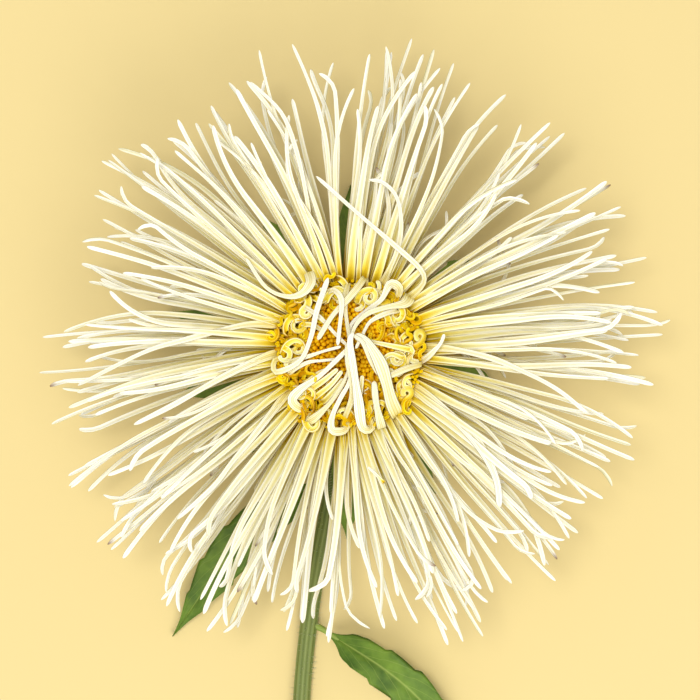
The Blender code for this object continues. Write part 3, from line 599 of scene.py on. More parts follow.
def frames_along(line, up=UP):
    """The sides and normals along a line, with the side kept level against up."""
    sides, normals = [], []
    for i in range(len(line)):
        tangent = (line[min(i + 1, len(line) - 1)] - line[max(i - 1, 0)]).normalized()
        side = tangent.cross(up)
        if side.length < 0.25 and sides:
            side = sides[-1] - tangent * sides[-1].dot(tangent)
        side.normalize()
        if sides and side.dot(sides[-1]) < 0:
            side = -side
        sides.append(side)
        normals.append(side.cross(tangent).normalized())
    return sides, normals


def circle(middle, side, other, radius, count):
    """A circle of points in the plane of two unit vectors."""
    turns = (2 * math.pi * k / count for k in range(count))
    return [middle + (side * math.cos(a) + other * math.sin(a)) * radius for a in turns]


def turned(profile, count, ribs=0, depth=0.0):
    """Rings of points round the bloom's axis, one for each (radius, height), with ribs of a depth."""
    rings = []
    for radius, height in profile:
        ring = []
        for k in range(count):
            rib = 1 + depth * math.cos(math.radians(ribs * 360 * k / count))
            ring.append(bearing(360 * k / count)[0] * radius * rib + UP * height)
        rings.append(ring)
    return rings


def petal_section(front, back):
    """A section from the left half of a petal's front and the right half of its back, both mirrored."""
    def mirror(points):
        return [(-across, flat, rolled) for across, flat, rolled in reversed(points)]
    return np.array([*front, *mirror(front[:-1]), *back, *mirror(back)])


# Sections of petals, round from the left edge: across, height when flat, height when rolled up
PLAIN_SECTION = petal_section(
    ((-1, 0.1, 0.45), (-0.84, 0.42, 0.9), (-0.6, 0.34, 0.6), (-0.32, 0.04, -0.02), (0, -0.04, -0.16)),
    ((0.76, -0.3, -0.36), (0.3, -0.52, -0.72)))
# A broader petal has three ridges between its edges
RIDGED_SECTION = petal_section(
    ((-1, -0.05, 0.3), (-0.84, 0.45, 0.85), (-0.63, 0.02, 0.3), (-0.42, 0.38, 0.35), (-0.21, -0.06, -0.2),
     (0, 0.32, 0.05)),
    ((0.76, -0.36, -0.36), (0.3, -0.5, -0.66)))
# Waves of height from one edge of that section to the middle
RIDGES = 1 / 0.42
# How many points of a section are on its back
BACK_POINTS = 4


def petal_stations(count, tip_start=TIP_START):
    """Places along a petal, closer together where its tip rounds off."""
    body = np.linspace(0, tip_start, count - 5)
    tip = tip_start + (1 - tip_start) * np.sin(np.linspace(0, math.pi / 2, 6)[1:])
    return np.concatenate([body, tip])


def add_petal(skin, line, stations, width, depth, twist, roll, tone, wilt_from=NEVER, up=UP, turn=0.0,
              shape=petal_half_width, section=PLAIN_SECTION, paler=0.0):
    """Adds a narrow petal along a line. Its edges are rolled up by roll, and it is brown past wilt_from.

    Its colours start as far along as paler, which leaves out those of a petal's root, or stretches them where
    it is below 0."""
    side, normal = (np.array([tuple(v) for v in vectors]) for vectors in frames_along(line, up))
    turns = math.radians(turn) + math.radians(twist) * stations**2
    c, s = np.cos(turns)[:, None], np.sin(turns)[:, None]
    side, normal = side * c + normal * s, normal * c - side * s
    rolls = np.clip(roll + 0.25 * np.sin(5 * stations + 9 * tone), 0, 1)
    rolls = (rolls * np.clip((1.02 - stations) * 8, 0, 1))[:, None]
    half = np.array([shape(width, s) for s in stations])[:, None]
    across = section[:, 0] * (1 - 0.22 * rolls) * half
    depths = depth * np.minimum(1.0, 0.3 + half / width)
    height = (section[:, 1] * (1 - rolls) + section[:, 2] * rolls) * depths
    middle = np.array([tuple(p) for p in line])
    rings = middle[:, None] + side[:, None] * across[..., None] + normal[:, None] * height[..., None]
    under = np.zeros(len(section))
    under[-BACK_POINTS:] = 1
    wilt = np.clip((stations - wilt_from) / 0.05, 0, 1)
    skin.loft(rings, paler + (1 - paler) * stations, section[:, 0], under, tone, wilt)


def linear(red, green, blue):
    """A colour given as display values from 0 to 255, in linear light."""
    def channel(c):
        c = c / 255
        return c / 12.92 if c <= 0.04045 else ((c + 0.055) / 1.055) ** 2.4
    return (channel(red), channel(green), channel(blue), 1)


class Nodes:
    """Short calls that add nodes to one material and join them up.

    Whatever a call is given is a number, a colour or what another call gave back."""

    def __init__(self, name, roughness, specular=0.35):
        self.material = bpy.data.materials.new(name)
        self.material.use_nodes = True
        self.tree = self.material.node_tree
        self.shader = self.tree.nodes["Principled BSDF"].inputs
        self.feed(self.shader, {"Roughness": roughness, "Specular IOR Level": specular})

    def feed(self, sockets, given):
        """Sets sockets, by name or number, to what they are given."""
        for key, value in given.items():
            if isinstance(value, (int, float, tuple)):
                sockets[key].default_value = value
            else:
                self.tree.links.new(value, sockets[key])

    def add(self, kind, given, **settings):
        """The outputs of a new node."""
        node = self.tree.nodes.new(kind)
        for name, value in settings.items():
            setattr(node, name, value)
        self.feed(node.inputs, given)
        return node.outputs

    def values(self, *names):
        """The point values of the piece that have these names."""
        return [self.add("ShaderNodeAttribute", {}, attribute_name=name)["Fac"] for name in names]

    def math(self, operation, *given, clamp=False):
        return self.add("ShaderNodeMath", dict(enumerate(given)), operation=operation, use_clamp=clamp)[0]

    def times(self, a, b):
        return self.math("MULTIPLY", a, b)

    def less(self, a, b):
        """a less b."""
        return self.math("SUBTRACT", a, b)

    def over(self, a, b):
        """How far a is over b, from 0 to 1."""
        return self.math("SUBTRACT", a, b, clamp=True)

    def past(self, a, b, gain):
        """How far a is over b, times a gain, from 0 to 1."""
        return self.math("MULTIPLY", self.over(a, b), gain, clamp=True)

    def ramp(self, factor, stops):
        """A colour ramp with (place, display colour) stops."""
        node = self.tree.nodes.new("ShaderNodeValToRGB")
        elements = node.color_ramp.elements
        while len(elements) < len(stops):
            elements.new(0.5)
        for element, (at, colour) in zip(elements, stops):
            element.position = at
            element.color = linear(*colour)
        self.feed(node.inputs, {0: factor})
        return node.outputs["Color"]

    def mix(self, factor, a, b, blend="MIX"):
        return self.add("ShaderNodeMix", {0: factor, 6: a, 7: b}, data_type="RGBA", blend_type=blend)[2]

    def tint(self, factor, a, b):
        """The colour a, multiplied by b as far as factor says."""
        return self.mix(factor, a, b, "MULTIPLY")

    def noise(self, scale, detail=3.0, stretch=None):
        """Noise over the piece's own coordinates, scale in waves a metre."""
        where = self.add("ShaderNodeTexCoord", {})["Object"]
        if stretch:
            where = self.add("ShaderNodeMapping", {"Vector": where, "Scale": stretch})["Vector"]
        return self.add("ShaderNodeTexNoise", {"Vector": where, "Scale": scale, "Detail": detail})["Fac"]

    def finish(self, colour, height, strength, distance, scatter, radius, depth):
        """The material, with its colour, its bump and how light scatters in it."""
        bump = self.add("ShaderNodeBump", {"Height": height, "Strength": strength, "Distance": distance})
        self.feed(self.shader, {
            "Base Color": colour, "Normal": bump["Normal"], "Subsurface Weight": scatter,
            "Subsurface Radius": radius, "Subsurface Scale": depth})
        return self.material


def petal_material(name, stops, shade_stops, veins=2.5, groove_spread=1.8, rim=0.0, back=1.0, valley_shade=0.0,
                   specular=0.3, deep=0.95):
    """Petal skin: yellower at its root, with bumped veins, painted shade in its groove, between its veins, on
    its back and along its edges, and a painted highlight along its rims.
    """
    n = Nodes(name, 0.52, specular)
    along, across, under, tone, wilt = n.values(*Skin.VALUES)
    side = n.math("ABSOLUTE", across)
    shade = n.ramp(along, shade_stops)
    # Painted shade: the groove down a petal's middle is multiplied by the shade colour, less towards the tip
    groove = n.times(n.over(1, n.times(side, groove_spread)), n.less(deep, n.times(along, 0.4)))
    body = n.tint(groove, n.ramp(along, stops), shade)
    # Painted highlight: a pale band along each rim, faint at the root
    edge = n.times(n.past(side, 0.6, 6), n.math("ADD", n.times(along, 3.6), 0.02, clamp=True))
    body = n.mix(n.times(edge, rim), body, linear(255, 253, 234))
    lines = n.math("COSINE", n.times(across, veins * 2 * math.pi))
    # Painted shade in the valleys between the veins
    body = n.tint(n.math("MULTIPLY", lines, -valley_shade, clamp=True), body, shade)
    body = n.tint(n.times(n.past(tone, 0.93, 7), along), body, linear(226, 226, 192))
    body = n.tint(n.times(tone, 0.25), body, linear(244, 239, 218))
    # Painted shade on the petal's back, lighter towards the tip
    back_shade = n.times(under, n.less(0.95 * back, n.times(along, 0.4 * back)))
    body = n.tint(back_shade, body, shade)
    # Painted shade: a dark line along both edges, where neighbouring petals meet
    body = n.tint(n.times(n.past(side, 0.84, 6.2), 0.9), body, n.tint(1, shade, shade))
    patches = n.times(n.over(n.noise(160), 0.42), 0.7)
    body = n.tint(patches, body, linear(246, 236, 196))
    body = n.mix(wilt, body, linear(118, 74, 34))
    height = n.math("ADD", lines, n.times(n.noise(900), 0.5))
    return n.finish(body, height, 0.35, 0.06 * MM, 0.24, (1.0, 0.92, 0.60), 0.6 * MM)


# Colours from root to tip. The darker yellows at the roots are partly the florets' own colour and partly
# painted shade low in the bloom; the brown at the buds' feet is painted shade between them
RAY_STOPS = ((0, (204, 160, 0)), (0.05, (223, 186, 0)), (0.09, (236, 206, 4)), (0.14, (246, 227, 80)),
             (0.21, (252, 246, 182)), (0.45, (252, 250, 230)), (0.72, (253, 252, 242)), (1, (254, 254, 250)))
STRAP_STOPS = ((0, (246, 222, 90)), (0.08, (250, 240, 170)), (0.3, (254, 252, 236)), (1, (255, 255, 250)))
CURL_STOPS = ((0, (206, 152, 0)), (0.1, (238, 204, 6)), (0.28, (249, 231, 86)), (0.6, (253, 244, 152)),
              (1, (255, 252, 208)))
TONGUE_STOPS = ((0, (236, 200, 20)), (0.3, (248, 232, 120)), (0.65, (253, 246, 184)), (1, (255, 252, 220)))
SMALL_STOPS = ((0, (176, 122, 0)), (0.15, (220, 178, 0)), (0.45, (246, 214, 0)), (1, (255, 238, 30)))
BUD_STOPS = ((0, (116, 66, 0)), (0.35, (208, 144, 0)), (0.7, (238, 184, 0)), (1, (252, 214, 30)))
# Colours of the stem's streaks, from dark to brown
STEM_STOPS = ((0.3, (74, 92, 34)), (0.6, (112, 124, 58)), (0.8, (138, 122, 66)))
# Painted shade: what a petal's groove, the valleys between its veins, its back and its edges are multiplied
# by, from root to tip
RAY_SHADE = ((0, (222, 194, 0)), (0.08, (220, 197, 0)), (0.15, (218, 198, 54)), (0.5, (212, 200, 112)),
             (1, (210, 204, 148)))
STRAP_SHADE = ((0, (226, 202, 30)), (0.2, (212, 196, 66)), (1, (208, 198, 96)))
CURL_SHADE = ((0, (222, 188, 0)), (0.3, (228, 206, 30)), (1, (230, 216, 96)))
TONGUE_SHADE = ((0, (224, 200, 20)), (1, (220, 206, 110)))
SMALL_SHADE = ((0, (220, 184, 0)), (0.5, (226, 200, 0)), (1, (228, 210, 10)))


def fine_line(petal, stations, seed, hooked):
    """A petal's line at stations, with its small bends and the hook at its tip."""
    out, side = bearing(petal["angle"])
    line = []
    for s in stations:
        wander = noise.noise_vector(Vector((seed, WANDER_WAVES * s, 0))) * WANDER * MM * min(1.0, 3 * s)
        crook = max(0.0, (s - HOOK_START) / (1 - HOOK_START)) ** 2
        bend = side * hooked * crook - out * abs(hooked) * 0.35 * crook + UP * abs(hooked) * 0.3 * crook
        line.append(petal_point(petal, s) + wander + bend)
    return line


def make_whorls(draw, stations, material):
    """Every outward petal, as one piece a whorl."""
    whorls = [Skin() for _ in WHORLS]
    for petal in outward_petals():
        whorl = petal["whorl"]
        seed = draw.uniform(0, 100)
        hooked = 0.0
        if draw.random() < HOOKED_SHARE:
            hooked = draw.choice((-1, 1)) * draw.uniform(*HOOK_SIZES) * MM
        line = fine_line(petal, stations, seed, hooked)
        brown = BROWN_SHORT if petal["reach"] < SHORT_REACH else BROWN_LONG
        wilt_from = BROWN_START if draw.random() < brown else NEVER
        twist = max(-MOST_TWIST, min(MOST_TWIST, petal["twist"]))
        width = petal["width"] * draw.uniform(0.85, 1.05) * (UPPER_WIDER if whorl >= LOW_WHORLS else 1.0)
        add_petal(whorls[whorl], line, stations, width, PETAL_DEPTH, twist, draw.uniform(0.1, 0.9),
                  draw.random(), wilt_from, turn=draw.gauss(0, 9), paler=WHORL_PALER[whorl])
    for number, skin in enumerate(whorls, start=1):
        skin.piece(f"ray_petals_{number}", material, "ray_petal", "ray_petals")


def make_strays(draw, stations):
    """The single petals that bend across the others."""
    material = petal_material("stray_petal", STRAP_STOPS, STRAP_SHADE, RIDGES, rim=0.3, back=0.3, valley_shade=0.5,
                              deep=0.6)
    strays = Skin()
    for (width, points), flare in zip(STRAYS, STRAY_FLARES):
        line = line_over_core(points, stations)
        add_petal(strays, line, stations, width * MM, STRAP_DEPTH, draw.gauss(0, 15), 0.4,
                  draw.random() * 0.3, shape=flared(*flare), section=RIDGED_SECTION)
    strays.piece("stray_petals", material, "ray_petal", "ray_petals")


def make_ray_petals():
    """The outward, stray and loose petals, over the receptacle that they grow from."""
    material = petal_material("ray_petal", RAY_STOPS, RAY_SHADE, groove_spread=1.7, rim=0.8, specular=0.16,
                              deep=0.75, valley_shade=0.15)
    stations = petal_stations(RAY_POINTS)
    draw = random.Random(101)
    make_whorls(draw, stations, material)
    make_strays(draw, stations)

    loose = Skin()
    add_petal(loose, line_over_core(LOOSE_PETAL, stations), stations, LOOSE_WIDTH, STRAP_DEPTH, 0.0, 0.5, 0.1,
              shape=strap_half_width)
    loose.piece("loose_petal", material, "ray_petal", "ray_petals")

    core = Skin()
    edge = CORE_RADIUS - ROOT_DEPTH
    profile = ((0.5 * MM, CORE_BASE), (edge, CORE_BASE), (edge, CORE_TOP - 1.2 * MM),
               (edge - 0.8 * MM, CORE_TOP - 0.4 * MM), (0.5 * MM, CORE_TOP - 0.3 * MM))
    core.loft(turned(profile, CORE_SIDES), np.linspace(0, 0.05, len(profile)))
    core.piece("receptacle", material, "ray_petal", "ray_petals")


def turning_line(foot, start, ahead, beside, plan, length):
    """A curl from its foot, which turns by each angle of its plan in an equal part of its length."""
    line = [foot, foot.lerp(start, 0.6)]
    step = length * MM / (len(plan) * CURL_RUN)
    heading = 0.0
    for turn in plan:
        for _ in range(CURL_RUN):
            line.append(start)
            heading += math.radians(turn) / CURL_RUN
            start = start + (ahead * math.cos(heading) + beside * math.sin(heading)) * step
    return line


def small_curl(draw, radius):
    """The line of one small curled floret that grows at a radius, and the plane that it turns in."""
    out, side = bearing(draw.uniform(0, 360))
    foot = out * radius + UP * (max(dome_height(radius), EYE_BASE) - 0.4 * MM)
    swing = math.radians(draw.uniform(-70, 70))
    tilt = math.radians(draw.uniform(5, 50))
    hand = draw.choice((-1, 1))
    inward = side * math.sin(swing) - out * math.cos(swing)
    ahead = inward * math.cos(tilt) + UP * math.sin(tilt)
    beside = inward.cross(UP) * hand
    plan = draw.choice(CURL_PLANS)
    length = draw.uniform(*SMALL_LENGTHS)
    start = foot + UP * draw.uniform(0.9, 2.0) * MM - ahead * 0.6 * MM
    return turning_line(foot, start, ahead, beside, plan, length), ahead.cross(beside).normalized()


def shown_curl(draw, x, y, height, heading, length, plan):
    """The line of one of SHOWN_CURLS, and the plane that it turns in."""
    start = Vector((x * MM, y * MM, CORE_TOP + height * MM))
    plane = Vector((draw.gauss(0, 0.22), draw.gauss(0, 0.22), 1)).normalized()
    ahead = bearing(heading)[0]
    ahead = (ahead - plane * ahead.dot(plane)).normalized()
    foot = start - UP * (height - 0.6) * MM - ahead * 0.5 * MM
    return turning_line(foot, start, ahead, plane.cross(ahead), plan, length), plane


def cup_turn(line, plane):
    """The turn that stands a curl's ribbon up on its edge, with its upper face leaning inwards."""
    middle = len(line) // 2
    inward = line[middle - 1] + line[middle + 1] - line[middle] * 2
    sides, _ = frames_along(line, plane)
    return -math.copysign(CURL_CUP, sides[middle].dot(inward))


def add_curl(skin, draw, curl, stations, widths):
    """Adds a curled floret: a thin ribbon along a line in a plane."""
    line, plane = curl
    width = draw.uniform(*widths) * MM
    fine = read_line(line, stations)
    turn = cup_turn(fine, plane) + draw.gauss(0, 14)
    add_petal(skin, fine, stations, width, CURL_DEPTH, draw.gauss(0, 25), 0.5, draw.random(),
              up=plane, turn=turn, shape=strap_half_width)


def make_straps(draw):
    """The petals bent in over the eye."""
    material = petal_material("inner_petal", STRAP_STOPS, STRAP_SHADE, RIDGES, rim=0.3, back=0.4, valley_shade=0.6,
                              deep=0.5)
    straps = Skin()
    stations = petal_stations(STRAP_POINTS, STRAP_TIP_START)
    for (width, *flare), points in zip(STRAP_FORMS, STRAPS):
        line = line_over_core(points, stations)
        add_petal(straps, line, stations, width * MM, STRAP_DEPTH, draw.gauss(0, 14), draw.uniform(0, 0.5),
                  draw.random() * 0.4, shape=flared(*flare), section=RIDGED_SECTION)
    straps.piece("strap_petals", material, "inner_petal", "inner_florets")


def make_curls(draw, stations):
    """The larger curls round the eye: those of the solids, and those that the photo shows one by one."""
    material = petal_material("curled_floret", CURL_STOPS, CURL_SHADE, rim=0.65, specular=0.1, deep=0.75)
    curled = Skin()
    for curl in solid_curls():
        add_curl(curled, draw, curl, stations, CURL_WIDTHS)
    for shown in SHOWN_CURLS:
        add_curl(curled, draw, shown_curl(draw, *shown), stations, SHOWN_WIDTHS)
    curled.piece("curled_florets", material, "inner_petal", "inner_florets")


def make_tongues(draw, stations):
    """The short florets below the petals over the eye."""
    material = petal_material("tongue_floret", TONGUE_STOPS, TONGUE_SHADE, rim=0.5, back=0.6, specular=0.15)
    tongues = Skin()
    for points in TONGUES:
        line = line_over_core(points, stations)
        width = TONGUE_WIDTH * draw.uniform(0.9, 1.15)
        add_petal(tongues, line, stations, width, STRAP_DEPTH, draw.gauss(0, 20), 0.3, draw.random(),
                  shape=strap_half_width)
    tongues.piece("tongue_florets", material, "inner_petal", "inner_florets")


def make_tubes(draw, material):
    """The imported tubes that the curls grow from."""
    tubes = Skin()
    for k in range(RING_TUBES):
        radius = RING_INNER + (RING_OUTER + 0.8 * MM - RING_INNER) * draw.random()
        out, side = bearing(k * GOLDEN_ANGLE)
        foot = out * radius + UP * (CORE_TOP - 0.6 * MM)
        tall = draw.uniform(1.6, 2.7) * MM
        lean = out * draw.uniform(-0.5, 0.7) * MM + side * draw.uniform(-0.5, 0.5) * MM
        rings = [circle(foot + UP * tall * height + lean * height**2, out, side, TUBE_RADIUS * share,
                        TUBE_SIDES) for share, height, _ in TUBE_RINGS]
        tubes.loft(rings, [along for *_, along in TUBE_RINGS], 0.6, tone=draw.random())
    tubes.piece("floret_tubes", material, "inner_petal", "inner_florets")


def make_inner_florets():
    """What stands round the eye and bends in over it."""
    draw = random.Random(31)
    make_straps(draw)
    stations = petal_stations(CURL_POINTS, STRAP_TIP_START)
    make_curls(draw, stations)
    make_tongues(draw, stations)
    material = petal_material("small_curled_floret", SMALL_STOPS, SMALL_SHADE, groove_spread=1.3, rim=0.08,
                              specular=0.05)
    small = Skin()
    for radius, count in SMALL_CURLS:
        for _ in range(count):
            curl = small_curl(draw, radius * MM + draw.uniform(-0.6, 0.6) * MM)
            add_curl(small, draw, curl, stations, SMALL_WIDTHS)
    small.piece("curled_florets_small", material, "inner_petal", "inner_florets")
    make_tubes(draw, material)


def disc_material():
    """Matt orange-yellow buds, brown at their feet as painted shade between them, and greener in the middle
    of the eye.
    """
    n = Nodes("disc_bud", 0.6, 0.1)
    along, tone, ripe = n.values("along", "tone", "wilt")
    body = n.tint(n.times(tone, 0.45), n.ramp(along, BUD_STOPS), linear(236, 192, 60))
    body = n.tint(ripe, body, linear(150, 128, 52))
    return n.finish(body, n.noise(2500), 0.3, 0.05 * MM, 0.08, (1.0, 0.7, 0.1), 0.4 * MM)


def add_bud(skin, draw, radius, angle):
    """Adds a five-lobed bud that stands on the eye's dome at a radius and an angle."""
    out, side = bearing(angle)
    slope = -2 * DISC_HEIGHT * radius / DISC_RADIUS**2
    up = (UP - out * slope + Vector((draw.gauss(0, 0.12), draw.gauss(0, 0.12), 0))).normalized()
    across = up.cross(side).normalized()
    side = across.cross(up)
    foot = out * (radius + draw.uniform(-0.1, 0.1) * MM) + UP * (dome_height(radius) - 0.5 * MM)
    size = BUD_RADIUS * draw.uniform(0.88, 1.1)
    tall = draw.uniform(0.6, 1.25) * MM
    phase = draw.uniform(0, 360 / BUD_LOBES)
    rings = []
    for share, height, _ in BUD_RINGS:
        ring = []
        for a in (360 * k / BUD_SIDES for k in range(BUD_SIDES)):
            lobe = 1 + 0.22 * height * math.cos(math.radians(BUD_LOBES * (a + phase)))
            spoke = side * math.cos(math.radians(a)) + across * math.sin(math.radians(a))
            ring.append(foot + spoke * size * share * lobe + up * tall * height)
        rings.append(ring)
    ripe = max(0.0, 1 - radius / (0.6 * DISC_RADIUS)) * draw.uniform(0.5, 1.0)
    skin.loft(rings, [along for *_, along in BUD_RINGS], tone=draw.random(), wilt=ripe)


def make_disc_florets():
    """The eye's closed florets: small five-lobed buds on a sunflower's spiral over a dark bed, which is
    painted shade between the buds.
    """
    material = disc_material()
    buds = Skin()
    draw = random.Random(57)
    for k in range(DISC_BUDS):
        radius = (DISC_RADIUS - 0.25 * MM) * math.sqrt((k + 0.5) / DISC_BUDS)
        add_bud(buds, draw, radius, k * GOLDEN_ANGLE + draw.uniform(-0.8, 0.8))
    buds.piece("disc_buds", material, "disc", "disc_florets")

    bed = Skin()
    radii = [DISC_RADIUS * share for share in (0.95, 0.8, 0.6, 0.4, 0.2, 0.05)]
    profile = ((0.3 * MM, EYE_BASE), (DISC_RADIUS, EYE_BASE), (DISC_RADIUS, EYE_BASE + 0.3 * MM),
               *((radius, dome_height(radius) - 0.3 * MM) for radius in radii))
    bed.loft(turned(profile, BED_SIDES), 0.0, tone=0.8)
    bed.piece("disc_bed", material, "disc", "disc_florets")


def leaf_material(name, dark, light, vein):
    """Leaf skin: a pale midrib and side veins over a mottled green."""
    n = Nodes(name, 0.6)
    along, across, under, tone = n.values("along", "across", "under", "tone")
    mottle = n.noise(260, 5.0)
    side = n.math("ABSOLUTE", across)
    slant = n.less(n.times(along, 9), n.times(side, 2.2))
    wave = n.math("ABSOLUTE", n.math("SINE", n.times(slant, math.pi)))
    lines = n.math("MAXIMUM", n.over(1, n.times(side, 11)), n.times(n.over(1, n.times(wave, 6)), 0.55))
    body = n.mix(n.times(lines, 0.6), n.ramp(mottle, ((0.3, dark), (0.7, light))), linear(*vein))
    body = n.mix(n.times(under, 0.4), body, linear(*vein))
    body = n.tint(n.times(tone, 0.5), body, linear(190, 190, 120))
    height = n.less(n.times(mottle, 0.6), lines)
    return n.finish(body, height, 0.5, 0.12 * MM, 0.12, (0.4, 0.8, 0.2), 0.6 * MM)


# Places across a leaf's blade
LEAF_ACROSS = (-1, -0.82, -0.6, -0.38, -0.18, -0.05, 0.05, 0.18, 0.38, 0.6, 0.82, 1)


def add_leaf(skin, line, stations, halves, thickness, fold, tone, floor=0.0, ripple=0.0, seed=0):
    """Adds a leaf blade along a line, folded up along its midrib by fold, with both faces closed."""
    across = (*LEAF_ACROSS, *reversed(LEAF_ACROSS[1:-1]))
    under = np.arange(len(across)) >= len(LEAF_ACROSS)
    rings = []
    for s, point, side, normal, half in zip(stations, line, *frames_along(line), halves):
        ring = []
        for u, below in zip(across, under):
            v = (-0.5 if below else 0.5) * (1 - 0.45 * u * u)
            crease = -0.5 * math.exp(-((u / 0.08) ** 2)) * thickness * (1.4 if below else 1)
            wave = ripple * noise.noise(Vector((seed + 3.2 * u, s * 7, 0))) * abs(u)
            lift = v * thickness + crease + fold * half * abs(u) ** 1.4 + wave
            spot = point + side * u * half + normal * lift
            ring.append((spot.x, spot.y, max(spot.z, floor)))
        rings.append(ring)
    skin.loft(rings, stations, across, under, tone)


def add_hair(skin, root, direction, length, radius):
    """Adds a thin three-sided hair."""
    direction = direction.normalized()
    side = direction.cross(UP if abs(direction.z) < 0.9 else Vector((1, 0, 0))).normalized()
    points = [*circle(root, side, direction.cross(side), radius, HAIR_SIDES), root + direction * length]
    skin.add(np.array([tuple(p) for p in points]), ((0, 2, 1), (0, 1, 3), (1, 2, 3), (2, 0, 3)),
             along=(0, 0, 0, 1), tone=0.5)


def add_fringe(skin, draw, line, halves, form):
    """Adds hairs along both edges of a leaf blade, in one of the forms BRACT_FRINGE and LEAF_FRINGE."""
    sides, _ = frames_along(line)
    for i in range(form["first"], len(line) - 1):
        forward = (line[i + 1] - line[i]).normalized() * form["lean"]
        for outward in (-sides[i], sides[i]):
            for part in form["parts"]:
                edge = line[i].lerp(line[i + 1], part) + outward * halves[i] * form["out"]
                edge += UP * 0.18 * halves[i]
                if edge.z > form["lowest"]:
                    direction = outward + forward
                    if form["rise"]:
                        direction += UP * draw.uniform(-form["rise"], form["rise"])
                    add_hair(skin, edge, direction, draw.uniform(*form["lengths"]) * MM, form["radius"])


def hair_material():
    """Pale hairs, nearly white at their tips."""
    n = Nodes("hair", 0.5)
    colour = n.ramp(n.values("along")[0], ((0, (150, 160, 96)), (1, (232, 234, 206))))
    n.feed(n.shader, {"Base Color": colour})
    return n.material


def make_cup(material):
    """The ribbed green cup under the bloom."""
    profile = [(p.x, p.z) for p in smooth_line([Vector((r, 0, z)) for r, z in CUP_OUTLINE], CUP_POINTS)]
    cup = Skin()
    rings = turned(profile, CUP_SIDES, CUP_RIBS, CUP_RIB_DEPTH)
    cup.loft(rings, np.linspace(0, 1, len(profile)), 1.0, tone=0.3)
    cup.piece("involucre_cup", material, "green_bract", "involucre")


def make_scales(draw, material):
    """The small leafy scales round the rim of the cup."""
    scales = Skin()
    stations = np.linspace(0, 1, SCALE_POINTS)
    halves = [SCALE_HALF * lance(s) * max(0.06, 1 - s**6) for s in stations]
    for k in range(SCALES):
        out, _ = bearing((k + 0.5) * 360 / SCALES)
        lift = 0.8 * MM * (k % 2)
        line = smooth_line([out * (CUP_RADIUS - 2.5 * MM) + UP * (19.0 * MM + lift),
                            out * (CUP_RADIUS + 1.5 * MM) + UP * (20.3 * MM + lift),
                            out * SCALE_REACH + UP * (20.4 * MM + lift)], len(stations))
        add_leaf(scales, line, stations, halves, SCALE_DEPTH, 0.15, draw.random(), ripple=0.2 * MM, seed=k)
    scales.piece("involucre_scales", material, "green_bract", "involucre")


def make_involucre(hair_skin):
    """The green cup with its overlapping scales, and the leafy bracts with their fringe of hairs."""
    material = leaf_material("bract", (66, 98, 20), (118, 148, 48), (164, 182, 92))
    draw = random.Random(77)
    make_cup(material)
    make_scales(draw, material)
    leaves = Skin()
    hairs = Skin()
    stations = np.linspace(0, 1, BRACT_POINTS)
    for k, (points, width) in enumerate(bract_lines()):
        line = smooth_line(points, len(stations))
        halves = [width / 2 * lance(s) * max(0.05, 1 - s**8) for s in stations]
        add_leaf(leaves, line, stations, halves, BRACT_DEPTH, 0.18, draw.random(), ripple=0.5 * MM,
                 seed=10 + k)
        add_fringe(hairs, draw, line, halves, BRACT_FRINGE)
    leaves.piece("leafy_bracts", material, "green_bract", "involucre")
    hairs.piece("bract_hairs", hair_skin, "green_bract", "involucre")


def stem_material():
    """Streaked green skin with paler ribs and a pale cut end."""
    n = Nodes("stem_skin", 0.58)
    ridge, cut = n.values("across", "wilt")
    streaks = n.ramp(n.noise(220, 4.0, (1, 0.12, 1)), STEM_STOPS)
    body = n.mix(n.times(ridge, 0.35), streaks, linear(168, 178, 110))
    body = n.mix(cut, body, linear(206, 208, 150))
    height = n.noise(700, 4.0, (1, 0.2, 1))
    return n.finish(body, height, 0.5, 0.1 * MM, 0.1, (0.4, 0.8, 0.2), 0.6 * MM)


def make_stem(hair_skin):
    """The ribbed stem with its short hairs."""
    stem = Skin()
    line = smooth_line(stem_line(), STEM_POINTS)
    sides, normals = frames_along(line, Vector((1, 0, 0)))
    turns = [2 * math.pi * k / STEM_SKIN_SIDES for k in range(STEM_SKIN_SIDES)]
    rings = []
    for i, (point, side, normal) in enumerate(zip(line, sides, normals)):
        swell = 1.0 + 0.16 * math.exp(-((i / 5) ** 2))
        ring = []
        for k, turn in enumerate(turns):
            radius = STEM_RADIUS * 0.96 * swell * (1 + 0.055 * math.cos(STEM_RIBS * turn))
            radius *= 1 + 0.03 * noise.noise(point * 90 + Vector((0, 0, k * 0.3)))
            spot = point + (side * math.cos(turn) + normal * math.sin(turn)) * radius
            ring.append((spot.x, spot.y, max(spot.z, STEM_SEAT)))
        rings.append(ring)
    ridge = [0.5 + 0.5 * math.cos(STEM_RIBS * turn) for turn in turns]
    cut = [0.0] * (len(line) - 1) + [1.0]
    stem.loft(rings, np.linspace(0, 1, len(line)), ridge, wilt=cut)
    stem.piece("stem_skin", stem_material(), "stem", "stem")

    hairs = Skin()
    draw = random.Random(91)
    for _ in range(STEM_HAIRS):
        i = draw.randrange(1, len(line) - 2)
        turn = draw.uniform(0, 2 * math.pi)
        out = sides[i] * math.cos(turn) + normals[i] * math.sin(turn)
        root = line[i] + out * STEM_RADIUS * 0.95
        if root.z > 0.4 * MM:
            direction = out + (line[i + 1] - line[i]).normalized() * draw.uniform(-0.4, 0.4)
            direction.z = max(direction.z, -0.3)
            add_hair(hairs, root, direction, draw.uniform(0.6, 1.2) * MM, 0.04 * MM)
    hairs.piece("stem_hairs", hair_skin, "stem", "stem")


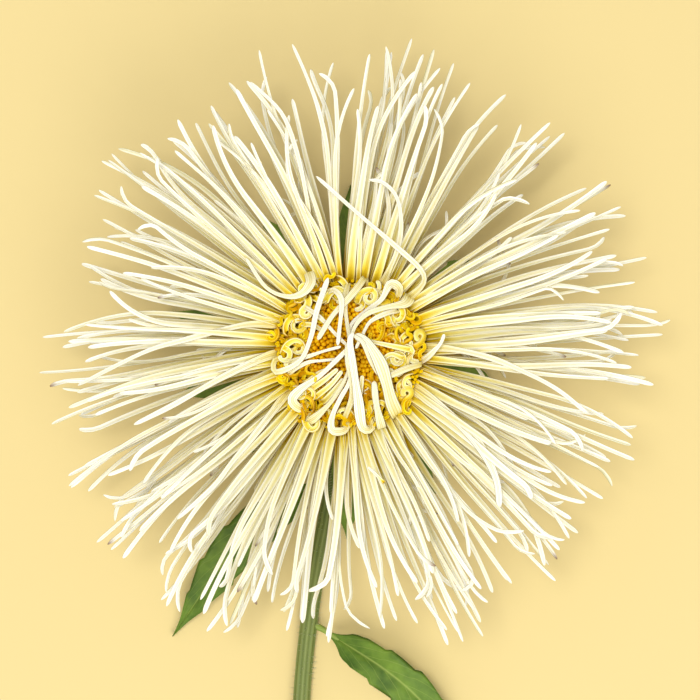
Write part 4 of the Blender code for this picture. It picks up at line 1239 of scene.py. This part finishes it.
def leaf_half_width(half, s):
    """Half the width of a toothed stem leaf, from its stalk to its tip."""
    tooth = 1.0 - 0.17 * ((s * LEAF_TEETH) % 1.0) if 0.2 < s < 0.92 else 0.9
    stalk = min(1.0, STALK_END + (s / STALK_END) ** 2) if s < STALK_END else 1.0
    return half * MM * lance(s) * tooth * stalk * max(0.05, 1 - s**7)


def add_stalk(skin, points):
    """Adds the tapered stalk of a leaf."""
    line = smooth_line(points, STALK_POINTS)
    rings = []
    for i, (point, side, normal) in enumerate(zip(line, *frames_along(line))):
        rings.append(circle(point, side, normal, (0.75 - 0.4 * i / (STALK_POINTS - 1)) * MM, STALK_SIDES))
    skin.loft(rings, np.linspace(0, 0.1, len(line)), tone=0.2)


def make_stem_leaves(hair_skin):
    """The toothed stem leaves on short stalks, with a fringe of hairs."""
    material = leaf_material("leaf", (62, 94, 18), (112, 142, 44), (162, 178, 90))
    draw = random.Random(17)
    stations = np.linspace(0, 1, LEAF_POINTS)
    for number, (root_y, tip_x, tip_y, half, arch) in enumerate(STEM_LEAVES, start=1):
        hand = 1 if tip_x > 0 else -1
        stem_x = stem_sway(-root_y * MM)
        root = Vector((stem_x + hand * (STEM_RADIUS + GAP + LEAF_ROOT_HALF), root_y * MM, 2.0 * MM))
        tip = Vector((tip_x * MM, tip_y * MM, 0.8 * MM))
        middle = root.lerp(tip, 0.45) + Vector((hand * 2.2 * MM, 2.0 * MM, arch * MM))
        line = smooth_line([root, middle, tip], len(stations))
        halves = [leaf_half_width(half, s) for s in stations]
        leaf = Skin()
        add_leaf(leaf, line, stations, halves, LEAF_DEPTH, 0.18, draw.random(), floor=0.1 * MM,
                 ripple=0.9 * MM, seed=40 + number)
        add_stalk(leaf, [Vector((stem_x, root_y * MM + 1.2 * MM, 1.7 * MM)), root, line[4]])
        leaf.piece(f"leaf_blade_{number}", material, "leaf", f"stem_leaf_{number}")
        hairs = Skin()
        add_fringe(hairs, draw, line, halves, LEAF_FRINGE)
        hairs.piece(f"leaf_hairs_{number}", hair_skin, "leaf", f"stem_leaf_{number}")


def make_floor():
    """A plain pale surface."""
    mesh = bpy.data.meshes.new("surface")
    corners = ((-FLOOR_HALF, -FLOOR_HALF, 0), (FLOOR_HALF, -FLOOR_HALF, 0), (FLOOR_HALF, FLOOR_HALF, 0),
               (-FLOOR_HALF, FLOOR_HALF, 0))
    mesh.from_pydata(corners, [], [(0, 1, 2, 3)])
    n = Nodes("surface", 0.85, 0.1)
    n.feed(n.shader, {"Base Color": linear(*FLOOR_COLOUR)})
    mesh.materials.append(n.material)
    show("surface", mesh)


def make_light():
    """Soft studio light: a large key from the top of the frame, a weak fill, and a pale surround."""
    target = AXIS + UP * FRAME_HEIGHT_OVER_SURFACE
    for name, offset, size, power, colour in LIGHTS:
        light = bpy.data.lights.new(name, "AREA")
        light.shape = "DISK"
        light.size = size
        light.energy = power
        light.color = colour
        obj = show(name, light)
        obj.location = AXIS + Vector(offset)
        obj.rotation_mode = "QUATERNION"
        obj.rotation_quaternion = (target - obj.location).to_track_quat("-Z", "Y")
    world = bpy.data.worlds.new("surround")
    world.use_nodes = True
    background = world.node_tree.nodes["Background"]
    background.inputs["Color"].default_value = SURROUND
    background.inputs["Strength"].default_value = SURROUND_STRENGTH
    bpy.context.scene.world = world


def make_camera():
    """The photo's camera, looking straight down into the bloom with the stem at the foot of the frame."""
    camera = bpy.data.cameras.new("camera")
    camera.sensor_width = SENSOR_WIDTH
    camera.lens = SENSOR_WIDTH * CAMERA_DISTANCE / FRAME_WIDTH
    camera.clip_start = 0.01
    obj = show("camera", camera)
    obj.location = AXIS + Vector((0, BLOOM_BELOW_CENTRE, FRAME_HEIGHT_OVER_SURFACE + CAMERA_DISTANCE))
    bpy.context.scene.camera = obj


def main():
    noise.seed_set(NOISE_SEED)
    bpy.context.scene.view_settings.view_transform = "Standard"
    make_camera()
    make_light()
    make_floor()
    make_ray_petals()
    make_inner_florets()
    make_disc_florets()
    hair_skin = hair_material()
    make_involucre(hair_skin)
    make_stem(hair_skin)
    make_stem_leaves(hair_skin)


main()
